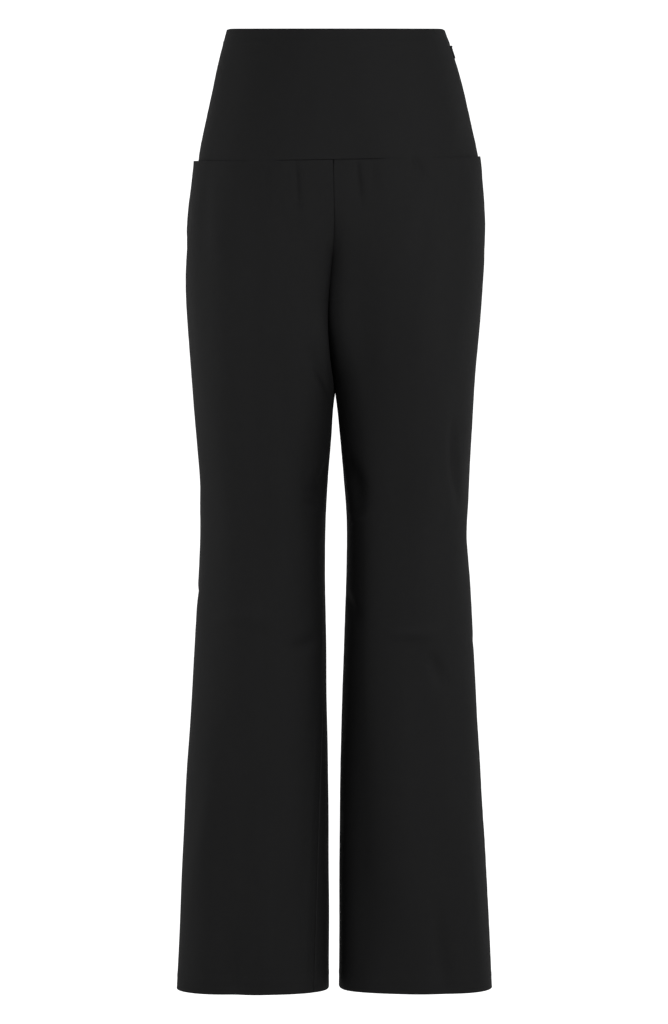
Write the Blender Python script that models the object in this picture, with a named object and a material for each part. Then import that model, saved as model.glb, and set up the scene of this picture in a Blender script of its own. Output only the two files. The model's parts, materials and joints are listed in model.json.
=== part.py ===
"""Straight-leg trousers with a deep hip yoke, as sewn panels in the shape they take when worn.

Metres, +Z up. The front faces -Y, the wearer's left side is +X, and the origin is the middle of the
waist opening. A "depth" is a distance below the waist edge, measured down the side seams: the plan
section at a depth lies at z = -depth there. Each half of the garment is worked out in an outward x
of its own, from its front edge (centre-front seam, crotch and inseam) round the side to its back
edge, and the right half is then mirrored.
"""

import math

import bmesh
import bpy
import numpy as np
from mathutils import Matrix, Vector

# Driving dimensions
YOKE_DEPTH = 0.1508
CROTCH_DEPTH = 0.320
HEM_DEPTH = 1.1055
CLOTH = 0.0014
LAYER = 0.0010
SEAM_GAP = 0.0003
LAYER_GAP = 0.0008

# Pockets in the yoke seam
POCKET_STAND = {"right": 0.0056, "left": 0.0026}
POCKET_REACH = 0.135
POCKET_BACK_REACH = 0.055
POCKET_FADE = 0.145
POCKET_BAG = 0.140
MOUTH_TURN = 0.012
MOUTH_EXTRA = 0.0010
POCKET_TUCK = 0.008
POCKET_SWELL = 0.4

# Concealed zip in the left side seam
ZIP_TOP = 0.0215
ZIP_END = 0.220
TAPE_TOP = 0.028
TAPE_HALF_WIDTH = 0.011
TAPE_CLEARANCE = 0.0015
ZIP_PARTING = 0.00065
ZIP_OPEN_HALF = 0.0019
ZIP_OPEN_EASE = 0.0007

# Slider and pull tab, in the zip's own frame: out of the cloth, across and up the seam
EYE_OUT = 0.00135
EYE_RADIUS = 0.00135
EYE_BORE = 0.00075
TONGUE_THICK = 0.0010
TONGUE_HALF_HEIGHT = 0.0010
SLIDER_SIZE = (0.0017, 0.0050, 0.0072)
SLIDER_DROP = 0.0006
PIN_RADIUS = 0.0004
PULL_THICK = 0.0010
PULL_LENGTH = 0.0150
PULL_WIDTH = 0.0046
PULL_NECK_WIDTH = 0.0034
FORK_CLEARANCE = 0.0004
FORK_ROOT = 0.0019
PULL_REST_TILT = math.radians(1.5)
SLIDER_BEVEL = 0.0004
EYE_SIDES = 24
PIN_SIDES = 16
PULL_END_STEPS = 6

# Rows and columns of the cloth; the pockets' backs start at a column of the leg panels
LEG_COLUMNS = 12
YOKE_COLUMNS = 13
POCKET_COLUMN = 5
TAPE_COLUMNS = 4
TAPE_ROWS = 14
SMOOTH_LIMIT = math.radians(40)
ARC_POINTS = 120
TANGENT_STEP = 0.001
REACH_SMOOTHING = 0.070
PARTING_SOFTNESS = 0.0002
REACH_POWER = 12.0
PARTING_TOP = 0.1500
PARTING_END = 0.4600

SIDES = {"right": -1.0, "left": 1.0}

# Half-widths of the outline seen from the front, without the pockets' stand
OUTLINE = {
    "columns": ("depth", "right", "left"),
    "rows": (
        (0.000, 0.1245, 0.1271),
        (0.036, 0.1334, 0.1384),
        (0.071, 0.1410, 0.1481),
        (0.106, 0.1489, 0.1560),
        (0.140, 0.1556, 0.1637),
        (0.156, 0.1575, 0.1666),
        (0.179, 0.1610, 0.1692),
        (0.207, 0.1657, 0.1720),
        (0.235, 0.1691, 0.1736),
        (0.262, 0.1709, 0.1736),
        (0.290, 0.1717, 0.1720),
        (0.318, 0.1706, 0.1698),
        (0.346, 0.1686, 0.1674),
        (0.401, 0.1650, 0.1627),
        (0.475, 0.1596, 0.1577),
        (0.521, 0.1566, 0.1551),
        (0.567, 0.1551, 0.1539),
        (0.613, 0.1562, 0.1547),
        (0.706, 0.1609, 0.1598),
        (0.775, 0.1647, 0.1636),
        (0.890, 0.1717, 0.1694),
        (1.006, 0.1773, 0.1768),
        (1.105, 0.1820, 0.1816),
    ),
}

# Profile seen from the side: how far the front and the back reach, where the widest line of the
# section runs, and how far out the foremost and the rearmost lines of each half lie
PROFILE = {
    "columns": ("depth", "front", "back", "middle", "front_crest", "back_crest"),
    "rows": (
        (0.000, 0.0880, 0.0860, 0.000, 0.006, 0.006),
        (0.071, 0.0975, 0.1000, 0.001, 0.009, 0.012),
        (0.150, 0.1045, 0.1190, 0.003, 0.017, 0.032),
        (0.207, 0.1050, 0.1260, 0.004, 0.034, 0.052),
        (0.262, 0.1030, 0.1240, 0.005, 0.055, 0.066),
        (0.320, 0.0990, 0.1140, 0.005, 0.073, 0.077),
        (0.373, 0.0955, 0.1045, 0.005, 0.080, 0.081),
        (0.475, 0.0860, 0.0905, 0.003, 0.084, 0.083),
        (0.567, 0.0765, 0.0790, 0.001, 0.084, 0.083),
        (0.660, 0.0715, 0.0735, 0.001, 0.086, 0.084),
        (0.775, 0.0680, 0.0710, 0.001, 0.088, 0.086),
        (0.960, 0.0640, 0.0675, 0.001, 0.092, 0.090),
        (1.105, 0.0625, 0.0650, 0.001, 0.095, 0.093),
    ),
}

# How square each quarter of a section is: 2 is an ellipse, more is squarer
ROUNDING = {
    "columns": (
        "depth", "outer_front", "outer_back", "inner_front_right", "inner_front_left", "inner_back",
    ),
    "rows": (
        (0.000, 2.05, 2.05, 2.0, 2.0, 2.0),
        (0.150, 2.25, 2.15, 2.1, 2.1, 2.1),
        (0.262, 2.25, 2.15, 4.0, 3.8, 2.8),
        (0.330, 2.20, 2.15, 4.6, 4.4, 3.0),
        (0.475, 2.15, 2.15, 3.4, 3.3, 2.8),
        (0.613, 2.15, 2.15, 2.5, 2.4, 2.3),
        (0.706, 2.20, 2.15, 2.5, 2.3, 2.3),
        (0.775, 2.25, 2.20, 2.5, 2.1, 2.3),
        (0.890, 2.35, 2.25, 2.5, 2.1, 2.3),
        (1.105, 2.60, 2.35, 2.6, 2.5, 2.4),
    ),
}

# The line where the two halves part, at the front and at the back, and how far the centre seams
# sink between the legs: 0 is level with the cloth, 1 is the crotch. Down to the crotch the line runs
# straight from front to back; below it the pressed thighs bend it.
CENTRE = {
    "columns": ("depth", "front_line", "back_line", "front_cleft", "back_cleft"),
    "rows": (
        (0.000, -0.0014, 0.0012, 0.0002, 0.0002),
        (0.150, -0.0014, 0.0012, 0.0006, 0.0020),
        (0.179, -0.0010, 0.0012, 0.0030, 0.0080),
        (0.207, -0.0004, 0.0012, 0.0120, 0.0220),
        (0.235, -0.0004, 0.0008, 0.0420, 0.0560),
        (0.262, -0.0020, -0.0010, 0.1150, 0.1250),
        (0.280, -0.0036, -0.0032, 0.2200, 0.2200),
        (0.296, -0.0050, -0.0050, 0.4000, 0.3800),
        (0.308, -0.0060, -0.0060, 0.6100, 0.5800),
        (0.315, -0.0064, -0.0064, 0.7900, 0.7700),
        (0.320, -0.0067, -0.0067, 1.0000, 1.0000),
        (0.328, -0.0071, -0.0062, 1.0000, 1.0000),
        (0.347, -0.0075, -0.0026, 1.0000, 1.0000),
        (0.369, -0.0064, 0.0024, 1.0000, 1.0000),
        (0.390, -0.0045, 0.0044, 1.0000, 1.0000),
        (0.410, -0.0016, 0.0034, 1.0000, 1.0000),
        (0.425, 0.0000, 0.0010, 1.0000, 1.0000),
        (0.460, 0.0000, 0.0000, 1.0000, 1.0000),
    ),
}
LEAST_CLEFT = 0.0002
FRONT_LINE_Y = -0.050
BACK_LINE_Y = 0.050

# Distance from the parting line to the innermost line of each leg; below 0 the thighs press
INNER = {
    "columns": ("depth", "right", "left"),
    "rows": (
        (0.150, 0.0000, 0.0000),
        (0.207, -0.0040, -0.0045),
        (0.262, -0.0100, -0.0110),
        (0.320, -0.0110, -0.0120),
        (0.362, -0.0100, -0.0110),
        (0.395, -0.0050, -0.0060),
        (0.413, -0.0014, -0.0014),
        (0.422, 0.0000, 0.0002),
        (0.429, 0.0008, 0.0014),
        (0.475, 0.0040, 0.0068),
        (0.521, 0.0077, 0.0108),
        (0.567, 0.0102, 0.0139),
        (0.613, 0.0110, 0.0139),
        (0.706, 0.0096, 0.0113),
        (0.775, 0.0088, 0.0090),
        (0.890, 0.0073, 0.0063),
        (1.105, 0.0059, 0.0048),
    ),
}

# How far the seams have turned round each leg: the inseam towards the front, the side seam
# towards the back
TURN = {
    "columns": ("depth", "inseam_right", "inseam_left", "side_right", "side_left"),
    "rows": (
        (0.000, 0.000, 0.000, 0.000, -0.012),
        (0.150, 0.000, 0.000, 0.000, -0.008),
        (0.320, 0.000, 0.000, 0.004, 0.000),
        (0.560, 0.006, -0.004, 0.008, 0.002),
        (0.705, 0.014, -0.010, 0.012, 0.002),
        (0.850, 0.030, -0.014, 0.018, 0.000),
        (1.060, 0.043, -0.016, 0.026, 0.000),
        (1.105, 0.045, -0.016, 0.028, 0.000),
    ),
}

# How the level lines of the cloth lean down to the front, rise to the back and roll to one side
LEAN = {
    "columns": ("depth", "front", "back", "roll", "side_dip"),
    "rows": (
        (0.000, 0.1570, 0.0700, 0.000, 0.0020),
        (0.030, 0.1490, 0.0700, 0.003, 0.0000),
        (0.151, 0.1180, 0.0500, 0.0172, 0.0000),
        (0.200, 0.0800, 0.0300, 0.010, 0.0000),
        (0.260, 0.0300, 0.0100, 0.002, 0.0000),
        (0.310, 0.0000, 0.0000, 0.000, 0.0000),
        (0.980, 0.0000, 0.0000, 0.000, 0.0000),
        (1.105, 0.0000, 0.0000, 0.003, 0.0000),
    ),
}
SIDE_DIP_WIDTH = 0.018

# The largest folds: soft troughs (height below 0) and ridges that run down one face of one half
FOLDS = {
    "columns": ("half", "face", "top_x", "end_x", "top", "end", "spread", "height"),
    "rows": (
        ("right", "front", 0.114, 0.100, 0.130, 0.640, 0.020, -0.0042),
        ("right", "front", 0.126, 0.116, 0.780, 1.140, 0.020, -0.0050),
        ("right", "front", 0.078, 0.090, 0.600, 1.160, 0.020, 0.0032),
        ("left", "front", 0.146, 0.134, 0.105, 0.270, 0.013, -0.0026),
        ("left", "front", 0.070, 0.086, 0.680, 1.160, 0.018, 0.0020),
        ("left", "front", 0.112, 0.128, 0.700, 1.150, 0.020, -0.0024),
        ("left", "front", 0.030, 0.050, 0.320, 0.520, 0.020, -0.0026),
        ("right", "front", 0.030, 0.024, 0.460, 0.600, 0.012, -0.0020),
        ("right", "back", 0.060, 0.044, 0.280, 0.450, 0.020, -0.0040),
        ("left", "back", 0.068, 0.050, 0.290, 0.480, 0.022, -0.0040),
        ("right", "back", 0.102, 0.096, 0.420, 1.140, 0.022, 0.0030),
        ("left", "back", 0.088, 0.100, 0.470, 1.150, 0.022, 0.0030),
        ("right", "back", 0.060, 0.066, 0.560, 1.080, 0.018, -0.0026),
        ("left", "back", 0.130, 0.138, 0.560, 1.100, 0.020, -0.0026),
    ),
}
FACE_BLEND = 0.012

# Depths of the rows of the leg panels: stretches with their own spacing
ROW_STRETCHES = (
    (YOKE_DEPTH, 0.245, 0.0135),
    (0.245, 0.300, 0.0070),
    (0.300, 0.332, 0.0042),
    (0.332, 0.440, 0.0150),
    (0.440, HEM_DEPTH, 0.0300),
)
YOKE_ROWS = (0.005, 0.040, 0.062, 0.084, 0.106, 0.128)


def curve(table, name, depth):
    """A named column of a table at each depth, on a smooth curve through its rows."""
    rows = np.array(table["rows"], dtype=float)
    knots = rows[:, 0]
    values = rows[:, table["columns"].index(name)]
    slopes = np.gradient(values, knots)
    depth = np.clip(depth, knots[0], knots[-1])
    low = np.clip(np.searchsorted(knots, depth, side="right") - 1, 0, len(knots) - 2)
    span = knots[low + 1] - knots[low]
    t = (depth - knots[low]) / span
    rise = values[low + 1] - values[low]
    bend_in = slopes[low] * span - rise
    bend_out = rise - slopes[low + 1] * span
    return values[low] + t * rise + t * (1 - t) * ((1 - t) * bend_in + t * bend_out)


def ease(t):
    """A smooth step from 0 to 1 as t goes from 0 to 1."""
    t = np.clip(t, 0.0, 1.0)
    return t * t * (3 - 2 * t)


def parting_x(y, depth):
    """Where the two halves part at a depth, as a line that wanders from front to back."""
    share = ease((y - FRONT_LINE_Y) / (BACK_LINE_Y - FRONT_LINE_Y))
    front = curve(CENTRE, "front_line", depth)
    return front + share * (curve(CENTRE, "back_line", depth) - front)


def quarter(power, first, last):
    """Points of a squared unit circle, from one angle to another."""
    angle = np.linspace(first, last, ARC_POINTS)
    across = np.cos(angle)
    along = np.sin(angle)
    radius = (np.abs(across) ** power + np.abs(along) ** power) ** (-1 / power)
    return radius * across, radius * along


def inner_quarter(side, depth, face):
    """The quarter of a section next to the other half, from its inner edge to its crest.

    Above the crotch it stops at the parting line, as deep as the cleft there; below it goes on to
    the innermost line of the leg. Where the thighs press, that line lies past the parting line, and
    section() cuts the curve short, so that the thighs meet in a shallow valley. face is "front" or
    "back".
    """
    toward = -1.0 if face == "front" else 1.0
    sign = SIDES[side]
    middle = float(curve(PROFILE, "middle", depth))
    crest = float(curve(PROFILE, face + "_crest", depth))
    reach_y = toward * float(curve(PROFILE, face, depth)) - middle
    column = "inner_back" if face == "back" else "inner_front_" + side
    power = float(curve(ROUNDING, column, depth))
    sunk = float(curve(CENTRE, face + "_cleft", depth)) if depth < CROTCH_DEPTH else 1.0
    end_y = 1.0 - min(max(sunk, LEAST_CLEFT), 1.0)
    end_x = (1.0 - end_y ** power) ** (1 / power)
    seam = SEAM_GAP / 2 if depth > PARTING_TOP else 0.0
    edge = sign * float(parting_x(middle + reach_y * end_y, depth)) + seam
    reach_x = crest - edge - float(curve(INNER, side, depth))
    if depth < CROTCH_DEPTH:
        sewn = (crest - edge) / end_x
        reach_x = (sewn ** REACH_POWER + reach_x ** REACH_POWER) ** (1 / REACH_POWER)
    across, along = quarter(power, math.atan2(end_y, end_x), math.pi / 2)
    return crest - reach_x * across, middle + reach_y * along


def outer_quarter(side, depth, face):
    """The quarter of a section from its crest to the side."""
    toward = -1.0 if face == "front" else 1.0
    middle = float(curve(PROFILE, "middle", depth))
    crest = float(curve(PROFILE, face + "_crest", depth))
    reach_x = float(curve(OUTLINE, side, depth)) - crest
    reach_y = toward * float(curve(PROFILE, face, depth)) - middle
    power = float(curve(ROUNDING, "outer_" + face, depth))
    across, along = quarter(power, math.pi / 2, 0.0)
    return crest + reach_x * across, middle + reach_y * along


def section(side, depth):
    """Half a plan section: its points, their distance along it, and that distance at the side."""
    front = [inner_quarter(side, depth, "front"), outer_quarter(side, depth, "front")]
    back = [outer_quarter(side, depth, "back"), inner_quarter(side, depth, "back")]
    x = np.concatenate([front[0][0], front[1][0][1:], back[0][0][-2::-1], back[1][0][-2::-1]])
    y = np.concatenate([front[0][1], front[1][1][1:], back[0][1][-2::-1], back[1][1][-2::-1]])
    if PARTING_TOP < depth < PARTING_END:
        limit = SIDES[side] * parting_x(y, depth) + SEAM_GAP / 2
        x = limit + PARTING_SOFTNESS * np.logaddexp(0.0, (x - limit) / PARTING_SOFTNESS)
    along = np.concatenate([[0.0], np.cumsum(np.hypot(np.diff(x), np.diff(y)))])
    return x, y, along, along[2 * ARC_POINTS - 2]


def place(side, depth, along):
    """Plan points of a half's cloth at distances along its section."""
    x, y, distance, _ = section(side, depth)
    period = distance[-1] if depth > CROTCH_DEPTH else None
    if period is None:
        along = np.clip(along, 0.0, distance[-1])
    return np.interp(along, distance, x, period=period), np.interp(along, distance, y, period=period)


def level(side, depth, x, y):
    """Height of the cloth: its level lines lean, roll, and dip a little at the waist's sides."""
    lean = np.where(y < 0, curve(LEAN, "front", depth), curve(LEAN, "back", depth))
    roll = curve(LEAN, "roll", depth) * SIDES[side] * x
    dip = curve(LEAN, "side_dip", depth) * np.exp(-((y / SIDE_DIP_WIDTH) ** 2))
    return -depth + lean * y + roll - dip


def seams(side, depth):
    """Distances along a section at which the inseam, the side seam and the inseam again lie."""
    _, _, distance, at_side = section(side, depth)
    inseam = float(curve(TURN, "inseam_" + side, depth)) if depth > CROTCH_DEPTH else 0.0
    side_seam = at_side + float(curve(TURN, "side_" + side, depth))
    return inseam, side_seam, distance[-1] + inseam


def columns_between(starts, ends, count):
    """Distances along each row's section of the columns that part it into equal stretches."""
    return np.linspace(starts, ends, count + 1, axis=1)


def columns_from_side(depths, at_side, at_edge, count):
    """Distances along each row's section of a panel's columns, from its side seam to its other edge.

    The columns spread evenly over a reach that changes slowly down the panel. Where the crotch cuts
    the real reach short, the columns nearest that edge take up the difference.
    """
    reach = at_edge - at_side
    weights = np.exp(-(((depths[:, None] - depths) / REACH_SMOOTHING) ** 2)) * np.gradient(depths)
    slow = weights @ reach / weights.sum(axis=1)
    share = np.linspace(0.0, 1.0, count + 1)
    return at_side[:, None] + slow[:, None] * share + (reach - slow)[:, None] * share ** 3


def cloth(side, depths, columns):
    """A grid of points, outward normals and distances in front of the side seam.

    columns holds, for each row, the distances along its section at which the points lie.
    """
    points = []
    around = []
    ahead = []
    for depth, along in zip(depths, columns):
        rows = []
        for offset in (0.0, -TANGENT_STEP, TANGENT_STEP):
            x, y = place(side, depth, along + offset)
            rows.append(np.stack([x, y, level(side, depth, x, y)], axis=-1))
        points.append(rows[0])
        around.append(rows[2] - rows[1])
        ahead.append(seams(side, depth)[1] - along)
    points = np.array(points)
    around = np.array(around)
    down = np.gradient(points, np.array(depths), axis=0)
    normals = np.cross(down, around)
    normals /= np.linalg.norm(normals, axis=-1, keepdims=True)
    return points, normals, np.array(ahead)


def pocket_stand(side, depths, ahead):
    """How far a leg panel stands out round its pocket mouth."""
    reach = np.where(ahead > 0, POCKET_REACH, POCKET_BACK_REACH)
    near = 1 - np.clip(np.abs(ahead) / reach, 0, 1) ** 2
    fade = np.clip(1 - (depths - YOKE_DEPTH) / POCKET_FADE, 0, 1) ** 1.5
    return POCKET_STAND[side] * near ** 2 * fade


def fold_height(side, depths, points):
    """Sum of the troughs and ridges at each point of a half."""
    total = np.zeros(depths.shape)
    for half, face, top_x, end_x, top, end, spread, height in FOLDS["rows"]:
        if half != side:
            continue
        share = np.clip((depths - top) / (end - top), 0, 1)
        across = points[..., 0] - (top_x + share * (end_x - top_x))
        toward = points[..., 1] if face == "back" else -points[..., 1]
        faces = ease(0.5 + toward / FACE_BLEND)
        total += height * np.sin(math.pi * share) * np.exp(-((across / spread) ** 2)) * faces
    return total


def mirrored(side, points):
    """Turns a half's own outward x into the garment's x."""
    return points * np.array([SIDES[side], 1.0, 1.0])


def wall(points, normals, outer, inner):
    """The two skins of a cloth wall, at heights along the normals."""
    return points + normals * outer[..., None], points + normals * inner[..., None]


def material(name, colour, roughness, metallic):
    """A Principled material."""
    made = bpy.data.materials.new(name)
    made.use_nodes = True
    shader = made.node_tree.nodes["Principled BSDF"]
    shader.inputs["Base Color"].default_value = (*colour, 1.0)
    shader.inputs["Roughness"].default_value = roughness
    shader.inputs["Metallic"].default_value = metallic
    return made


def add_object(name, mesh, finish, parent):
    """Links an object with one material under a parent."""
    made = bpy.data.objects.new(name, mesh)
    made.data.materials.append(finish)
    made.parent = parent
    bpy.context.scene.collection.objects.link(made)
    return made


def add_wall(name, skins, finish, parent):
    """A closed wall between an outer and an inner grid of points."""
    outer, inner = skins
    rows, columns = outer.shape[:2]
    form = bmesh.new()
    grids = []
    for skin in (outer, inner):
        corners = [form.verts.new(point) for point in skin.reshape(-1, 3)]
        grids.append([corners[row * columns:(row + 1) * columns] for row in range(rows)])
    for grid in grids:
        for row in range(rows - 1):
            for column in range(columns - 1):
                above = grid[row]
                below = grid[row + 1]
                form.faces.new((above[column], below[column], below[column + 1], above[column + 1]))
    rims = []
    for grid in grids:
        down_left = [line[0] for line in grid]
        down_right = [line[-1] for line in grid]
        rims.append(down_left + grid[-1][1:] + down_right[-2::-1] + grid[0][-2:0:-1])
    for here in range(len(rims[0])):
        following = (here + 1) % len(rims[0])
        form.faces.new((rims[0][here], rims[0][following], rims[1][following], rims[1][here]))
    bmesh.ops.recalc_face_normals(form, faces=form.faces)
    mesh = bpy.data.meshes.new(name)
    form.to_mesh(mesh)
    form.free()
    mesh.shade_smooth()
    mesh.set_sharp_from_angle(angle=SMOOTH_LIMIT)
    return add_object(name, mesh, finish, parent)


def leg_depths():
    """Depths of the rows of the leg panels, from the yoke seam to the hem."""
    depths = []
    for top, end, spacing in ROW_STRETCHES:
        count = max(1, round((end - top) / spacing))
        depths.extend(np.linspace(top, end, count, endpoint=False))
    depths[0] += SEAM_GAP / 2
    return np.array(depths + [HEM_DEPTH])


def yoke_depths():
    """Depths of the rows of the yoke, with four close rows where the zip's tongue comes out."""
    parting = [ZIP_TOP + offset for offset in (
        -ZIP_OPEN_HALF - ZIP_OPEN_EASE, -ZIP_OPEN_HALF, ZIP_OPEN_HALF, ZIP_OPEN_HALF + ZIP_OPEN_EASE)]
    return np.array(sorted([0.0, *parting, *YOKE_ROWS, YOKE_DEPTH - SEAM_GAP / 2]))


def leg_columns(depths, lines, face):
    """Columns of a leg panel, in the order in which they follow each other round the half."""
    gap = SEAM_GAP / 2
    if face == "front":
        return columns_from_side(depths, lines[:, 1] - gap, lines[:, 0] + gap, LEG_COLUMNS)[:, ::-1]
    return columns_from_side(depths, lines[:, 1] + gap, lines[:, 2] - gap, LEG_COLUMNS)


def add_leg_panel(side, face, finish, parent):
    """A front or back leg panel of one half."""
    depths = leg_depths()
    lines = np.array([seams(side, depth) for depth in depths])
    points, normals, ahead = cloth(side, depths, leg_columns(depths, lines, face))
    depth_grid = np.broadcast_to(depths[:, None], ahead.shape)
    stand = pocket_stand(side, depth_grid, ahead)
    outer = stand + fold_height(side, depth_grid, points)
    turned = np.clip(1 - (depth_grid - YOKE_DEPTH) / MOUTH_TURN, 0, 1)
    thickness = CLOTH + MOUTH_EXTRA * turned * stand / POCKET_STAND[side]
    skins = wall(points, normals, outer, outer - thickness)
    name = "leg_" + face + "_" + side
    return add_wall(name, [mirrored(side, skin) for skin in skins], finish, parent)


def zip_parting(depth):
    """How far each edge of the left side seam draws back where the zip's tongue comes out."""
    beyond = abs(depth - ZIP_TOP) - ZIP_OPEN_HALF
    return ZIP_PARTING * min(1.0, max(0.0, 1.0 - beyond / ZIP_OPEN_EASE))


def add_yoke(face, finish, parent):
    """The front or back yoke, in one piece from one side seam to the other."""
    depths = yoke_depths()
    halves = []
    for side in ("right", "left"):
        lines = np.array([seams(side, depth) for depth in depths])
        draw = np.array([zip_parting(depth) for depth in depths]) if side == "left" else 0.0
        inset = SEAM_GAP / 2 + draw
        if face == "front":
            starts, ends = lines[:, 0], lines[:, 1] - inset
        else:
            starts, ends = lines[:, 1] + inset, lines[:, 2]
        columns = columns_between(starts, ends, YOKE_COLUMNS)
        points, normals, ahead = cloth(side, depths, columns)
        depth_grid = np.broadcast_to(depths[:, None], ahead.shape)
        outer = fold_height(side, depth_grid, points)
        skins = wall(points, normals, outer, outer - CLOTH)
        halves.append([mirrored(side, skin) for skin in skins])
    right, left = halves
    skins = []
    for right_skin, left_skin in zip(right, left):
        if face == "front":
            seam = (right_skin[:, :1] + left_skin[:, :1]) / 2
            skins.append(np.concatenate([right_skin[:, :0:-1], seam, left_skin[:, 1:]], axis=1))
        else:
            seam = (right_skin[:, -1:] + left_skin[:, -1:]) / 2
            skins.append(np.concatenate([left_skin[:, :-1], seam, right_skin[:, -2::-1]], axis=1))
    return add_wall("yoke_" + face, skins, finish, parent)


def add_pocket_back(side, finish, parent):
    """The layer behind a pocket mouth, which carries the yoke's surface on under the leg panel."""
    depths = np.concatenate([[YOKE_DEPTH - POCKET_TUCK], leg_depths()])
    lines = np.array([seams(side, depth) for depth in depths])
    columns = leg_columns(depths, lines, "front")[:, POCKET_COLUMN:]
    if side == "left":
        columns[:, -1] = lines[:, 1] - TAPE_HALF_WIDTH - TAPE_CLEARANCE
    bag_rows = depths < YOKE_DEPTH + POCKET_BAG
    depths = depths[bag_rows]
    points, normals, ahead = cloth(side, depths, columns[bag_rows])
    depth_grid = np.broadcast_to(depths[:, None], ahead.shape)
    below = ease((depth_grid - YOKE_DEPTH) / MOUTH_TURN)
    swell = POCKET_SWELL * below * pocket_stand(side, depth_grid, ahead)
    outer = fold_height(side, depth_grid, points) + swell - CLOTH - LAYER_GAP
    skins = wall(points, normals, outer, outer - LAYER)
    return add_wall("pocket_back_" + side, [mirrored(side, skin) for skin in skins], finish, parent)


def add_zip_tape(finish, parent):
    """The zip's tape, behind the left side seam."""
    depths = np.linspace(TAPE_TOP, ZIP_END, TAPE_ROWS)
    middle = np.array([seams("left", depth)[1] for depth in depths])
    columns = columns_between(middle - TAPE_HALF_WIDTH, middle + TAPE_HALF_WIDTH, TAPE_COLUMNS)
    points, normals, _ = cloth("left", depths, columns)
    outer = np.full(points.shape[:2], -CLOTH - LAYER_GAP)
    skins = wall(points, normals, outer, outer - LAYER)
    return add_wall("zip_tape", skins, finish, parent)


def zip_frame():
    """Frame on the left side seam at the zip's top: x out of the cloth, y across, z up the seam."""
    depths = np.array([ZIP_TOP - TANGENT_STEP, ZIP_TOP, ZIP_TOP + TANGENT_STEP])
    at_seam = np.array([seams("left", depth)[1] for depth in depths])
    points, normals, _ = cloth("left", depths, at_seam[:, None])
    out = Vector(normals[1, 0])
    up = Vector(points[0, 0] - points[2, 0]).normalized()
    across = up.cross(out).normalized()
    up = out.cross(across)
    turn = Matrix((out, across, up)).transposed().to_4x4()
    return Matrix.Translation(Vector(points[1, 0])) @ turn


def boolean(target, tool, operation):
    """Joins or cuts one mesh object with another and removes the tool."""
    step = target.modifiers.new(operation.lower(), "BOOLEAN")
    step.operation = operation
    step.solver = "EXACT"
    step.object = tool
    bpy.context.view_layer.update()
    graph = bpy.context.evaluated_depsgraph_get()
    result = bpy.data.meshes.new_from_object(target.evaluated_get(graph))
    target.modifiers.clear()
    target.data = result
    bpy.data.objects.remove(tool)


def box_form(name, low, high, finish, bevel):
    """A box between two corners, with its edges broken."""
    form = bmesh.new()
    bmesh.ops.create_cube(form, size=1.0)
    size = [b - a for a, b in zip(low, high)]
    centre = [(a + b) / 2 for a, b in zip(low, high)]
    bmesh.ops.scale(form, vec=size, verts=form.verts)
    bmesh.ops.translate(form, vec=centre, verts=form.verts)
    if bevel:
        bmesh.ops.bevel(form, geom=form.edges[:], offset=bevel, segments=1, affect="EDGES")
    mesh = bpy.data.meshes.new(name)
    form.to_mesh(mesh)
    form.free()
    return add_object(name, mesh, finish, None)


def disc_form(name, centre, radius, width, finish, segments):
    """A cylinder that lies across the zip, along y."""
    form = bmesh.new()
    turn = Matrix.Translation(centre) @ Matrix.Rotation(math.pi / 2, 4, "X")
    bmesh.ops.create_cone(
        form, cap_ends=True, segments=segments, radius1=radius, radius2=radius, depth=width, matrix=turn)
    mesh = bpy.data.meshes.new(name)
    form.to_mesh(mesh)
    form.free()
    return add_object(name, mesh, finish, None)


def add_slider(frame, finish, parent):
    """The slider: a body behind the seam and a tongue through it that ends in the pull's eye."""
    thick, wide, tall = SLIDER_SIZE
    face = -CLOTH - LAYER_GAP
    slider = box_form(
        "zip_slider",
        (face - thick, -wide / 2, -tall / 2 - SLIDER_DROP),
        (face, wide / 2, tall / 2 - SLIDER_DROP), finish, SLIDER_BEVEL)
    tongue = box_form(
        "tongue",
        (face - thick / 2, -TONGUE_THICK / 2, -TONGUE_HALF_HEIGHT),
        (EYE_OUT, TONGUE_THICK / 2, TONGUE_HALF_HEIGHT), finish, 0.0)
    eye = disc_form("eye", (EYE_OUT, 0.0, 0.0), EYE_RADIUS, TONGUE_THICK, finish, EYE_SIDES)
    bore = disc_form("bore", (EYE_OUT, 0.0, 0.0), EYE_BORE, 2 * TONGUE_THICK, finish, EYE_SIDES)
    boolean(slider, tongue, "UNION")
    boolean(slider, eye, "UNION")
    boolean(slider, bore, "DIFFERENCE")
    slider.parent = parent
    slider.matrix_world = frame
    return slider


def pull_outline():
    """Half the outline of the pull tab: across and down from the pin, round its end."""
    outline = [(PULL_NECK_WIDTH / 2, -PIN_RADIUS * 2), (PULL_NECK_WIDTH / 2, FORK_ROOT)]
    radius = PULL_WIDTH / 2
    end = PULL_LENGTH - PIN_RADIUS * 2 - radius
    for step in range(PULL_END_STEPS + 1):
        angle = math.pi / 2 * step / PULL_END_STEPS
        outline.append((radius * math.cos(angle), end + radius * math.sin(angle)))
    return outline


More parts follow.
